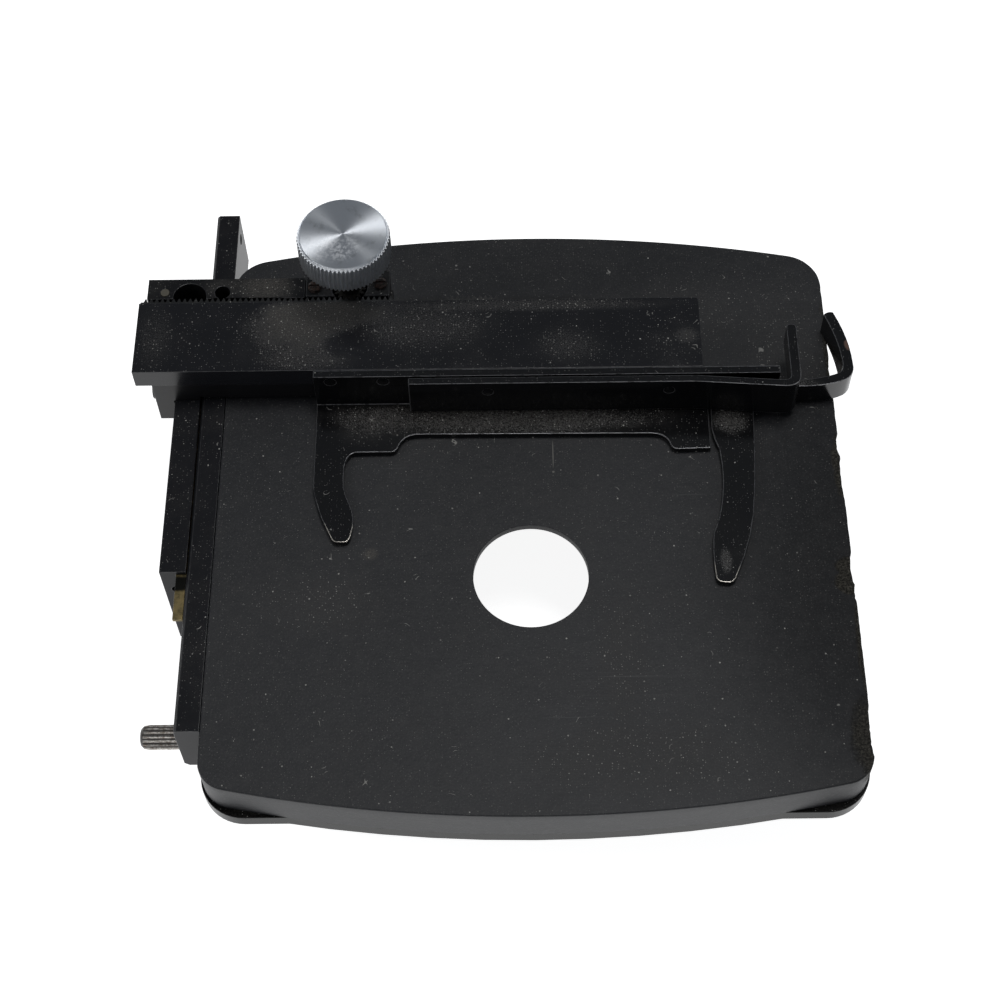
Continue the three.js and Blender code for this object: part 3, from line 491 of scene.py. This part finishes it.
def edge_material(name, colour, roughness, metallic, share, wear_and_painted_light=()):
    """A lacquered edge worn through to the metal in places and all over the listed patches; its lighter
    strips also serve as painted highlights along the edges.
    """
    shader = Shader(name)
    bare = shader.step(shader.noise(1.6, detail=5, rough=0.75), 1 - share, 1.12 - share)
    for centre, size in wear_and_painted_light:
        place = shader.near(centre, size, soft=0.6, ragged=0.1)
        bare = shader.plus(bare, place)
        colour = shader.mix(colour, (0.5, 0.47, 0.42), place)
    mixed = shader.mix((0.014, 0.014, 0.016), colour, bare)
    shader.set(
        base_color=mixed,
        roughness=roughness,
        metallic=shader.times(bare, metallic),
        normal=shader.bump(shader.noise(0.4, detail=4), 0.02),
    )
    return shader.material


def lacquer_material(
    name, colour, roughness, film, specks=1.0, patches=(), wiped=(), gloss=0.5, chips=()
):
    """Black lacquer with a film of dust, specks, hairline marks and chips down to rust."""
    shader = Shader(name)
    tone = shader.noise(9, detail=4)
    dark = tuple(c * 0.7 for c in colour)
    base = shader.mix(dark, colour, tone)
    mixed, rough, settled, dots = dusty(shader, base, roughness, film, specks, patches, wiped)
    for centre, size in chips:
        chip = shader.near(centre, size, soft=0.7, ragged=0.35)
        mixed = shader.mix(mixed, RUST, chip)
        rough = shader.plus(rough, shader.times(chip, 0.4))
    marks = shader.plus(
        shader.times(shader.scratches(3, 14, 0.05, 0.3, seed=4), 0.3),
        shader.times(shader.scratches(74, 8, 0.05, 0.2, seed=5), 0.25),
    )
    marks = shader.times(marks, shader.facing_up())
    mixed = shader.mix(mixed, (0.08, 0.08, 0.08), marks)
    normal = shader.bump(shader.noise(1.4, detail=3), 0.008)
    normal = shader.bump(settled, 0.05, normal)
    normal = shader.bump(dots, 0.04, normal)
    shader.set(base_color=mixed, roughness=rough, normal=normal, specular_ior_level=gloss)
    return shader.material


# Where dust has settled: centre, half sizes and strength; then the places rubbed clean.
BAR_DUST = [
    ((-46, 52, 11), (13, 8, 8), 0.85),
    ((-41, 55, 11), (16, 5, 8), 0.95),
    ((-44, 44, 11), (12, 5, 8), 0.3),
    ((-21, 51, 11), (15, 8, 8), 0.22),
    ((2, 56.3, 11), (36, 2.2, 8), 0.3),
    ((8, 46, 11), (9, 6, 8), 0.18),
    ((32, 48.3, 11), (3.2, 2.6, 8), 0.35),
    ((-75, 50, 11), (5, 10, 8), 0.15),
]
BAR_WIPED = [((-65, 49, 11), (5, 6, 8)), ((-36, 47, 11), (7, 4.5, 8))]
SHELF_DUST = [
    ((-53, 62, 8), (8, 6, 8), 0.95),
    ((-36, 62, 8), (12, 8, 8), 0.25),
    ((-62, 62, 10), (5, 4, 5), 0.3),
]
FLANGE_DUST = [
    ((-5, 35.5, 1.5), (45, 6, 4), 0.45),
    ((-33, 34, 1.5), (9, 7, 4), 0.18),
    ((40.5, 34, 1.5), (5, 4, 4), 0.5),
    ((37.5, 2, 1.5), (1.6, 3.5, 3), 0.3),
    ((52, 38, 6), (9, 5, 6), 0.45),
]
FLANGE_WIPED = [((-39, 29, 1.5), (2.6, 3.5, 4))]
# Where the fingers' edges are worn to the metal and painted lighter, partly as a highlight, and where
# the fixed thumb tab's lacquer is chipped.
FINGER_TIPS = [((-37.5, 8.5, 1), (5, 4, 4)), ((37.2, -1.5, 1), (4, 4.5, 4))]
TAB_CHIPS = [((64.9, 49, 4), (1.3, 2.2, 3.5))]


def turned_metal(name, colour, roughness, grime=0.25, relief=0.008):
    """Machined metal with fine grain and stains."""
    shader = Shader(name)
    stain = shader.step(shader.noise(3, detail=5, rough=0.65), 0.5, 0.72)
    dark = tuple(c * 0.5 for c in colour)
    mixed = shader.mix(colour, dark, shader.times(stain, grime))
    rough = shader.step(shader.noise(1.5, detail=4), 0.3, 0.75, to=(roughness, roughness * 1.4))
    shader.set(
        base_color=mixed,
        metallic=1.0,
        roughness=rough,
        normal=shader.bump(shader.noise(0.3, detail=3), relief),
    )
    return shader.material


def knob_top_material(x, y):
    """Chromed face turned in fine rings, with its fan of reflections, a few stains and a painted
    highlight at its front.
    """
    shader = Shader("turned_chrome")
    radius = shader.from_axis(x, y)
    stain = shader.step(shader.noise(2.2, detail=5, rough=0.7), 0.5, 0.74)
    colour = shader.mix((0.72, 0.75, 0.79), (0.46, 0.48, 0.49), shader.times(stain, 0.6))
    # Painted highlight: a speckled whitish patch on the front of the face, less metallic there.
    bright = shader.near((x - 1.5, y - 3.5, 27), (7, 4.5, 4), soft=0.3, ragged=0.5)
    speckled = shader.step(shader.noise(0.7, detail=4, rough=0.8), 0.44, 0.6)
    bright = shader.times(bright, speckled)
    colour = shader.mix(colour, (0.95, 0.97, 1.0), bright)
    spots = shader.specks(0.8, 0.12, 0.16, seed=7)
    colour = shader.mix(colour, (0.75, 0.75, 0.7), shader.times(spots, 0.5))
    rings = shader.math("SINE", shader.math("MULTIPLY", radius, 42.0))
    uneven = shader.noise(0.9, detail=2)
    normal = shader.bump(shader.times(shader.step(rings, -1, 1), uneven), 0.0015)
    tangent = shader.tree.nodes.new("ShaderNodeTangent")
    tangent.direction_type = "RADIAL"
    tangent.axis = "Z"
    shader.set(
        base_color=colour,
        metallic=shader.step(bright, 0, 1, to=(0.95, 0.6)),
        roughness=0.38,
        anisotropic=0.9,
        tangent=tangent.outputs[0],
        normal=normal,
    )
    return shader.material


def knurl_material(name, x, y, outer, depth, colour):
    """Metal ridges round an upright axis: bright tips, black grooves."""
    shader = Shader(name)
    radius = shader.from_axis(x, y)
    tip = shader.step(radius, outer - depth * 0.4, outer - depth * 0.02)
    patch = shader.step(shader.noise(2.5, detail=4, rough=0.7), 0.35, 0.65, to=(0.3, 1))
    tip = shader.times(tip, patch)
    shader.set(
        base_color=shader.mix((0.008, 0.008, 0.008), colour, tip),
        metallic=tip,
        roughness=shader.step(tip, 0, 1, to=(0.7, 0.3)),
        normal=shader.bump(shader.noise(0.3, detail=3), 0.02),
    )
    return shader.material


def pin_material(y, z, outer, depth):
    """Knurled steel pin that lies along X: worn bright ridges over brown-black grooves."""
    shader = Shader("knurled_pin")
    place = at(0, y, z)
    point = shader.scaled(
        stretch=(0, 1 / MM, 1 / MM), shift=(0, -place.y / MM, -place.z / MM)
    )
    radius = shader.length(point)
    tip = shader.step(radius, outer - depth * 0.7, outer - depth * 0.1)
    stain = shader.step(shader.noise(0.7, detail=5, rough=0.8), 0.4, 0.62)
    bright = shader.mix((0.66, 0.64, 0.6), (0.22, 0.18, 0.15), stain)
    shader.set(
        base_color=shader.mix((0.025, 0.02, 0.018), bright, tip),
        metallic=shader.step(tip, 0, 1, to=(0.2, 1)),
        roughness=0.36,
        normal=shader.bump(shader.noise(0.3, detail=3), 0.015),
    )
    return shader.material


def rust_material():
    """Rusted steel screw under dust: brown crust over dark metal."""
    shader = Shader("rusty_screw")
    crust = shader.step(shader.noise(0.5, detail=5, rough=0.7), 0.4, 0.62)
    colour = shader.mix((0.014, 0.011, 0.01), (0.055, 0.030, 0.023), crust)
    shader.set(
        base_color=colour,
        metallic=shader.step(crust, 0, 1, to=(0.6, 0.05)),
        roughness=shader.step(crust, 0, 1, to=(0.45, 0.85)),
        normal=shader.bump(crust, 0.08),
    )
    return shader.material


def brass_material():
    """Tarnished brass, near black at its front end."""
    shader = Shader("tarnished_brass")
    stain = shader.step(shader.noise(1.6, detail=5, rough=0.7), 0.35, 0.7)
    colour = shader.mix((0.24, 0.185, 0.085), (0.07, 0.06, 0.032), stain)
    # The strip is coloured near black at its front end.
    dark_front_end = shader.near((-67.5, -0.4, -1.4), (4, 2.1, 3), soft=0.6, ragged=0.3)
    colour = shader.mix(colour, (0.006, 0.006, 0.005), dark_front_end)
    shader.set(
        base_color=colour,
        metallic=0.9,
        roughness=shader.step(stain, 0, 1, to=(0.38, 0.55)),
        normal=shader.bump(shader.noise(0.5, detail=3), 0.02),
    )
    return shader.material


# ---------------------------------------------------------------- geometry helpers


def piece_from(mesh, name, body, slot, replaced, *materials):
    """A new object of that mesh, riding on a CAD body in place of CAD nodes."""
    piece = bpy.data.objects.new(name, mesh)
    bpy.context.collection.objects.link(piece)
    mesh.materials.clear()
    for material in materials:
        mesh.materials.append(material)
    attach(piece, body)
    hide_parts(*replaced)
    return piece


WELD = 2e-6  # metres
FLAT = math.radians(0.4)


def clean_copy(node):
    """The CAD node's mesh with its flat faces made whole again."""
    work = bmesh.new()
    work.from_mesh(NODES[node].data)
    bmesh.ops.remove_doubles(work, verts=work.verts, dist=WELD)
    bmesh.ops.dissolve_limit(work, angle_limit=FLAT, verts=work.verts, edges=work.edges)
    mesh = bpy.data.meshes.new(node + "_look")
    work.to_mesh(mesh)
    work.free()
    return mesh


SHARP_EDGE = math.radians(32)
ONE_CURVE = math.radians(20)


def softened(node, body, slot, material, edge, width, segments, kept=None):
    """The CAD node with its sharp edges rounded off, and the rounded strips in a worn finish that also
    paints edge highlights.

    kept(a, b) may say, from an edge's two ends in millimetres, whether that edge is rounded.
    """
    mesh = clean_copy(node)
    piece = piece_from(mesh, node + "_worn", body, slot, [node], material, edge)
    modifier = piece.modifiers.new("edges", "BEVEL")
    modifier.width = width * MM
    modifier.segments = segments
    modifier.limit_method = "ANGLE"
    modifier.angle_limit = SHARP_EDGE
    modifier.use_clamp_overlap = False
    modifier.material = 1
    modifier.miter_outer = "MITER_ARC"
    if kept:
        weights = mesh.attributes.new("bevel_weight_edge", "FLOAT", "EDGE")
        for edge_line, weight in zip(mesh.edges, weights.data):
            ends = [(mesh.vertices[i].co - AXIS) / MM for i in edge_line.vertices]
            weight.value = 1.0 if kept(*ends) else 0.0
        modifier.limit_method = "WEIGHT"
    depsgraph = bpy.context.evaluated_depsgraph_get()
    final = bpy.data.meshes.new_from_object(piece.evaluated_get(depsgraph))
    piece.modifiers.clear()
    piece.data = final
    smooth_rounds(final)
    return piece


def smooth_rounds(mesh):
    """Shades curved walls and rounded strips smooth and leaves the flat faces flat."""
    faces = mesh.polygons
    around = [[] for _ in mesh.vertices]
    for face in faces:
        face.use_smooth = True
        for index in face.vertices:
            around[index].append(face)
    least = math.cos(ONE_CURVE)
    normals = [None] * len(mesh.loops)
    for face in faces:
        for loop, index in zip(face.loop_indices, face.vertices):
            whole = [other for other in around[index] if other.material_index == 0]
            lead = face.normal
            if face.material_index and whole:
                lead = max(whole, key=lambda other: other.normal.dot(face.normal)).normal
            kin = [other for other in whole or around[index] if other.normal.dot(lead) > least]
            total = sum((other.normal * other.area for other in kin), Vector())
            normals[loop] = total.normalized() if total.length else lead
    mesh.normals_split_custom_set([tuple(normal) for normal in normals])


def circle(x, y, z, radius, sides):
    """Places on a level circle, in millimetres."""
    turns = [2 * math.pi * i / sides for i in range(sides)]
    return [(x + radius * math.cos(a), y + radius * math.sin(a), z) for a in turns]


def add_rings(work, rings, slots):
    """Joins rings of places, in millimetres, with bands of quads, and returns the vertex rings."""
    lines = [[work.verts.new(at(*place)) for place in ring] for ring in rings]
    for lower, upper, slot in zip(lines, lines[1:], slots):
        for i, start in enumerate(lower):
            j = (i + 1) % len(lower)
            face = work.faces.new((start, lower[j], upper[j], upper[i]))
            face.material_index = slot
            face.smooth = True
    return lines


def fill_between(work, lines, slot):
    """Flat face bounded by the outer line of vertices, with the other lines as its holes."""
    edges = []
    for line in lines:
        for a, b in zip(line, line[1:] + line[:1]):
            edges.append(work.edges.get((a, b)) or work.edges.new((a, b)))
    made = bmesh.ops.triangle_fill(work, use_beauty=True, use_dissolve=False, edges=edges)
    for item in made["geom"]:
        if isinstance(item, bmesh.types.BMFace):
            item.material_index = slot
            item.smooth = False


def finished(work, name):
    """A mesh of the work, with its faces pointing out."""
    bmesh.ops.recalc_face_normals(work, faces=work.faces)
    mesh = bpy.data.meshes.new(name)
    work.to_mesh(mesh)
    work.free()
    return mesh


# ---------------------------------------------------------------- stage plate

PLATE_LOW, PLATE_HIGH = corners_of("stage_top_plate")
PLATE_MIDDLE = (PLATE_LOW.x + PLATE_HIGH.x) / 2
BOWS = {"front": 285, "back": 284}
CORNERS = {"front": 6, "back": 8}
RIM = 0.3  # radius of the rounded rim
APERTURE_R = 11.1
SUBSTAGE_R = 21
APERTURE_LIP = 1.5
SCREW_R = 1.6
SCREW_TOP = -4.5
BORE_SIDES = 96
SCREW_SIDES = 20
PLATE_TOP, PLATE_SIDE, PLATE_RIM = range(3)  # material slots
PLATE_SHARP = math.radians(40)
LEVEL = 0.999  # least upward or downward part of a level face's normal

# Chips out of the plate's right edge: where along Y, half length and depth, in millimetres.
CHIPS = [
    (0.8, 3.4, 0.55),
    (-4.6, 1.6, 0.3),
    (21, 4.5, 0.4),
    (29, 2.4, 0.55),
    (-33, 5, 0.4),
    (47, 3, 0.3),
]
WORN_BAND = 3  # how far in from the right edge the outline may be worn
# By the right front corner the side sits lower: place, half sizes and the share it is lowered by.
LOWERED_X, LOWERED_Y = 61, -37
LOWERED_HALF_X, LOWERED_HALF_Y = 5, 9
LOWERED_SHARE = 0.6


def plate_outline(inset):
    """Places along the plate's outline, moved in by inset: right side, back, left side, front.

    The last number of each arc and line is its count of places.
    """
    left, right = PLATE_LOW.x + inset, PLATE_HIGH.x - inset
    points = []
    ends = {}
    for way, name, edge in ((1, "back", PLATE_HIGH.y), (-1, "front", PLATE_LOW.y)):
        bow, corner = BOWS[name], CORNERS[name]
        centre_y = edge - way * bow
        reach = bow - corner
        x = right + inset - corner - PLATE_MIDDLE
        y = centre_y + way * math.sqrt(reach**2 - x**2)
        ends[way] = (x, y, bow - inset, corner - inset, centre_y, math.atan2(y - centre_y, x))
    x, y, bow, corner, centre_y, angle = ends[1]
    front_x, front_y, front_bow, front_corner, front_centre_y, front_angle = ends[-1]

    def arc(cx, cy, radius, start, stop, count):
        for i in range(count):
            a = start + (stop - start) * i / count
            points.append((cx + radius * math.cos(a), cy + radius * math.sin(a)))

    def line(cx, start, stop, count):
        for i in range(count):
            points.append((cx, start + (stop - start) * i / count))

    line(right, front_y, y, 180)
    arc(PLATE_MIDDLE + x, y, corner, 0, angle, 12)
    arc(PLATE_MIDDLE, centre_y, bow, angle, math.pi - angle, 50)
    arc(PLATE_MIDDLE - x, y, corner, math.pi - angle, math.pi, 12)
    line(left, y, front_y, 12)
    arc(PLATE_MIDDLE - front_x, front_y, front_corner, math.pi, math.pi - front_angle, 12)
    arc(PLATE_MIDDLE, front_centre_y, front_bow, -math.pi - front_angle, front_angle, 70)
    arc(PLATE_MIDDLE + front_x, front_y, front_corner, front_angle, 0, 14)
    return points


def worn_in(x, y, z):
    """How far the plate's right side is worn or chipped inwards there, in millimetres."""
    if x < PLATE_HIGH.x - WORN_BAND:
        return 0
    depth = 0.05 + 0.16 * max(0, noise.noise(Vector((y * 0.35, z * 0.2, 3))))
    depth += 0.07 * abs(noise.noise(Vector((y * 1.9, z * 1.1, 8))))
    for centre, half, deep in CHIPS:
        across = 1 - ((y - centre) / half) ** 2
        if across > 0:
            depth += deep * math.sqrt(across) * (0.8 + 0.4 * noise.noise(Vector((y * 1.3, z, 5))))
    return depth * (1 + max(z, -6) / 7.5)


def plate_ring(inset, z):
    """The outline at one level, worn in along the right side and lowered by its front corner."""
    ring = []
    for x, y in plate_outline(inset):
        off = ((x - LOWERED_X) / LOWERED_HALF_X) ** 2 + ((y - LOWERED_Y) / LOWERED_HALF_Y) ** 2
        lowered = 1 + LOWERED_SHARE * max(0, 1 - off)
        ring.append((x - worn_in(x, y, z), y, z * lowered if z < -0.01 else 0))
    return ring


def add_plate():
    """The top plate with its rounded rim, chipped right edge, aperture and screw holes."""
    work = bmesh.new()
    low = PLATE_LOW.z
    rings = [plate_ring(0, low * share) for share in (1, 0.75, 0.5, 0.25)]
    slots = [PLATE_SIDE] * len(rings)
    for degrees in range(0, 91, 18):
        a = math.radians(degrees)
        rings.append(plate_ring(RIM * (1 - math.cos(a)), -RIM * (1 - math.sin(a))))
        slots.append(PLATE_RIM)
    outer = add_rings(work, rings, slots)
    bore = [
        (0, APERTURE_R + 0.14),
        (-0.06, APERTURE_R + 0.03),
        (-0.2, APERTURE_R),
        (-APERTURE_LIP, APERTURE_R),
        (-APERTURE_LIP, SUBSTAGE_R),
        (low, SUBSTAGE_R),
    ]
    levels = [circle(0, 0, z, radius, BORE_SIDES) for z, radius in bore]
    hole = add_rings(work, levels, [PLATE_TOP] * len(levels))
    holes = []
    for index in range(1, 5):
        corner, far = corners_of(f"plate_screw_{index}")
        x, y = (corner.x + far.x) / 2, (corner.y + far.y) / 2
        wall = [circle(x, y, z, SCREW_R, SCREW_SIDES) for z in (low, SCREW_TOP)]
        mouth, end = add_rings(work, wall, [PLATE_SIDE])
        work.faces.new(end).material_index = PLATE_SIDE
        holes.append(mouth)
    fill_between(work, [outer[-1], hole[0]], PLATE_TOP)
    fill_between(work, [outer[0], hole[-1], *holes], PLATE_SIDE)
    mesh = finished(work, "stage_top_plate_look")
    mesh.set_sharp_from_angle(angle=PLATE_SHARP)
    for face in mesh.polygons:
        if abs(face.normal.z) > LEVEL:
            face.use_smooth = False
    piece_from(
        mesh, "stage_top_plate_worn", "stage", "hard_rubber", ["stage_top_plate"],
        MATERIALS["plate"], MATERIALS["plate_side"], MATERIALS["rim"],
    )


CASTING_TOP = corners_of("stage_casting")[1].z
CASTING_FOOT = -12.5  # edges below this height stay sharp
SAME_LEVEL = 0.1
SEAM_REACH = 0.3
# Places along the seam with the top plate, four to each step of the plate's outline.
SEAM = [
    (start[0] + (end[0] - start[0]) * k / 4, start[1] + (end[1] - start[1]) * k / 4)
    for outline in [plate_outline(0)]
    for start, end in zip(outline, outline[1:] + outline[:1])
    for k in range(4)
]


def casting_edge(a, b):
    """Whether an edge of the casting is rounded: level ones above its foot, but not the seam."""
    if min(a.z, b.z) < CASTING_TOP - SAME_LEVEL:
        return abs(a.z - b.z) < SAME_LEVEL and a.z > CASTING_FOOT
    middle = (a + b) / 2
    near = min((middle.x - x) ** 2 + (middle.y - y) ** 2 for x, y in SEAM)
    return near > SEAM_REACH**2


# ---------------------------------------------------------------- knob

KNOB_LOW, KNOB_HIGH = corners_of("x_knob")
KNOB_X = (KNOB_LOW.x + KNOB_HIGH.x) / 2
KNOB_Y = (KNOB_LOW.y + KNOB_HIGH.y) / 2
KNOB_R = (KNOB_HIGH.x - KNOB_LOW.x) / 2
KNOB_RIDGES = 68
KNURL_DEPTH = 0.42
KNOB_RIM_BOTTOM = 20.7
HUB_R = 4
SHAFT_R = 2.05
BORE_DEPTH = 7.5
KNOB_FACE, KNOB_KNURL, KNOB_HUB, KNOB_CHAMFER = range(4)  # material slots
KNOB_SHARP = math.radians(38)
RIDGE_STEPS = 8  # places round one ridge
RIDGE_POWER = 1.3


def knurled_ring(z, radius, depth):
    """Ring of rounded ridges about the knob's axis."""
    ring = []
    steps = KNOB_RIDGES * RIDGE_STEPS
    for i in range(steps):
        angle = 2 * math.pi * i / steps
        ridge = abs(math.cos(angle * KNOB_RIDGES / 2)) ** RIDGE_POWER
        r = radius - depth * (1 - ridge)
        ring.append((KNOB_X + r * math.cos(angle), KNOB_Y + r * math.sin(angle), z))
    return ring


def add_knob():
    """The knob: knurled rim, bright chamfer, turned top face, hub with the shaft's bore."""
    top = KNOB_HIGH.z
    work = bmesh.new()
    profile = [  # height, radius, ridge depth, material slot of the band above
        (KNOB_LOW.z + BORE_DEPTH, SHAFT_R, 0, KNOB_HUB),
        (KNOB_LOW.z, SHAFT_R, 0, KNOB_HUB),
        (KNOB_LOW.z, HUB_R - 0.2, 0, KNOB_HUB),
        (KNOB_LOW.z + 0.2, HUB_R, 0, KNOB_HUB),
        (KNOB_RIM_BOTTOM, HUB_R, 0, KNOB_HUB),
        (KNOB_RIM_BOTTOM, KNOB_R - 0.75, 0.1, KNOB_KNURL),
        (KNOB_RIM_BOTTOM + 0.4, KNOB_R - 0.1, KNURL_DEPTH, KNOB_KNURL),
        (KNOB_RIM_BOTTOM + 0.8, KNOB_R, KNURL_DEPTH, KNOB_KNURL),
        (top - 0.7, KNOB_R, KNURL_DEPTH, KNOB_KNURL),
        (top - 0.5, KNOB_R - 0.08, KNURL_DEPTH * 0.7, KNOB_KNURL),
        (top - 0.34, KNOB_R - 0.22, 0.08, KNOB_CHAMFER),
        (top - 0.1, KNOB_R - 0.44, 0, KNOB_CHAMFER),
        (top - 0.02, KNOB_R - 0.52, 0, KNOB_KNURL),
        (top - 0.1, KNOB_R - 0.6, 0, KNOB_KNURL),
        (top, KNOB_R - 0.7, 0, KNOB_FACE),
        (top, 0.02, 0, KNOB_FACE),
    ]
    rings = [knurled_ring(z, radius, depth) for z, radius, depth, _ in profile]
    lines = add_rings(work, rings, [slot for *_, slot in profile])
    work.faces.new(lines[0]).material_index = KNOB_HUB
    work.faces.new(lines[-1]).material_index = KNOB_FACE
    mesh = finished(work, "x_knob_look")
    mesh.set_sharp_from_angle(angle=KNOB_SHARP)
    piece_from(
        mesh, "x_knob_turned", "x_drive", "chrome", ["x_knob"],
        MATERIALS["knob_top"], MATERIALS["knurl"], MATERIALS["dark_steel_and_shade"], MATERIALS["chrome"],
    )


# ---------------------------------------------------------------- build

SHEET_BLACK = (0.0022, 0.0023, 0.003)
PIN_LOW, PIN_HIGH = corners_of("knurled_stop_screw")

MATERIALS = {
    "plate": plate_material(),
    "plate_side": plate_side_material(),
    "rim": rim_material(),
    "casting": lacquer_material("casting_lacquer", (0.003, 0.0032, 0.0032), 0.24, 0.3, gloss=0.12),
    "bar": lacquer_material(
        "bar_lacquer", (0.0098, 0.0103, 0.0128), 0.22, 0.16, 1.0, BAR_DUST, BAR_WIPED, 0.36
    ),
    "rack": lacquer_material("rack_lacquer", (0.009, 0.009, 0.0095), 0.3, 0.6),
    "block": lacquer_material(
        "block_lacquer", (0.0075, 0.0075, 0.0088), 0.32, 0.3, 1.0, SHELF_DUST, gloss=0.26
    ),
    "rail": lacquer_material(
        "rail_lacquer", (0.0145, 0.015, 0.0178), 0.34, 0.25, 1.0, gloss=0.1
    ),
    "sheet": lacquer_material(
        "sheet_lacquer", SHEET_BLACK, 0.16, 0.06, 0.7, FLANGE_DUST, FLANGE_WIPED, 0.5, TAB_CHIPS
    ),
    # Edge finishes: worn to the metal in places, and lighter in colour as painted highlights along the
    # edges.
    "worn": edge_material("worn_and_highlit_edge", (0.13, 0.13, 0.135), 0.3, 0.7, 0.62, FINGER_TIPS),
    "soft_wear_and_highlight": edge_material("soft_edge_and_highlight", (0.06, 0.06, 0.062), 0.32, 0.4, 0.5),
    "brass": brass_material(),
    "dull_brass": turned_metal("dull_brass", (0.15, 0.14, 0.115), 0.45, 0.4),
    "steel": turned_metal("dull_steel", (0.42, 0.40, 0.37), 0.32),
    # Near-black steel for the pinion shaft and the knob's underside, as painted shade under the knob.
    "dark_steel_and_shade": turned_metal("dark_steel_painted_shade", (0.035, 0.033, 0.03), 0.45, 0.6),
    "chrome": turned_metal("chrome", (0.66, 0.69, 0.71), 0.2, 0.5, 0.012),
    "knob_top": knob_top_material(KNOB_X, KNOB_Y),
    "knurl": knurl_material(
        "knurled_rim", KNOB_X, KNOB_Y, KNOB_R, KNURL_DEPTH, (0.26, 0.265, 0.27)
    ),
    "pin": pin_material(
        (PIN_LOW.y + PIN_HIGH.y) / 2,
        (PIN_LOW.z + PIN_HIGH.z) / 2,
        (PIN_HIGH.z - PIN_LOW.z) / 2,
        0.35,
    ),
    "screw": turned_metal("black_screw", (0.05, 0.05, 0.053), 0.35),
    "rust": rust_material(),
}

BODY_OF = {node: body for body, nodes in RECORD["behaviour"]["bodies"].items() for node in nodes}
SLOT_OF = {s["node"]: s["material_slot"] for s in RECORD["subparts"]}

add_plate()
add_knob()
casting = MATERIALS["casting"]
softened("stage_casting", "stage", "black_casting", casting, casting, 0.2, 2, casting_edge)

# Finish, finish of the rounded edges, their width in millimetres and their count of segments.
SOFTENED = {
    "y_guide_rail": ("rail", "soft_wear_and_highlight", 0.14, 2),
    "y_carriage": ("rail", "soft_wear_and_highlight", 0.14, 2),
    "x_guide_block": ("block", "soft_wear_and_highlight", 0.14, 2),
    "pinion_housing": ("block", "soft_wear_and_highlight", 0.3, 2),
    "x_bar": ("bar", "soft_wear_and_highlight", 0.12, 2),
    "slide_holder_fixed": ("sheet", "worn", 0.16, 2),
    "slide_holder_jaw": ("sheet", "worn", 0.16, 2),
    "brass_gib_strip": ("brass", "brass", 0.12, 2),
    "knurled_stop_screw": ("pin", "pin", 0.05, 1),
}
for node, (main, edge, width, segments) in SOFTENED.items():
    finishes = MATERIALS[main], MATERIALS[edge]
    softened(node, BODY_OF[node], SLOT_OF[node], *finishes, width, segments)

BY_SLOT = {
    "hard_rubber": "plate",
    "black_casting": "casting",
    "black_lacquer": "block",
    "black_sheet": "sheet",
    "brass": "brass",
    "chrome": "chrome",
    "bright_steel": "steel",
    "dark_screws": "screw",
    "rusty_screws": "rust",
}
OWN_FINISH = {"x_pinion_shaft": "dark_steel_and_shade", "x_rack": "rack", "brass_dowel": "dull_brass"}
FLUSH = ["holder_rivet_1", "holder_rivet_2", "holder_rivet_3", "jaw_stud_1", "jaw_stud_2"]
OWN_FINISH.update({name: "sheet" for name in FLUSH})
for name, node in NODES.items():
    for index in range(len(node.material_slots)):
        finish = OWN_FINISH.get(name, BY_SLOT[SLOT_OF[name]])
        node.material_slots[index].material = MATERIALS[finish]

add_camera()
add_studio()
bpy.context.scene.view_settings.view_transform = "Standard"
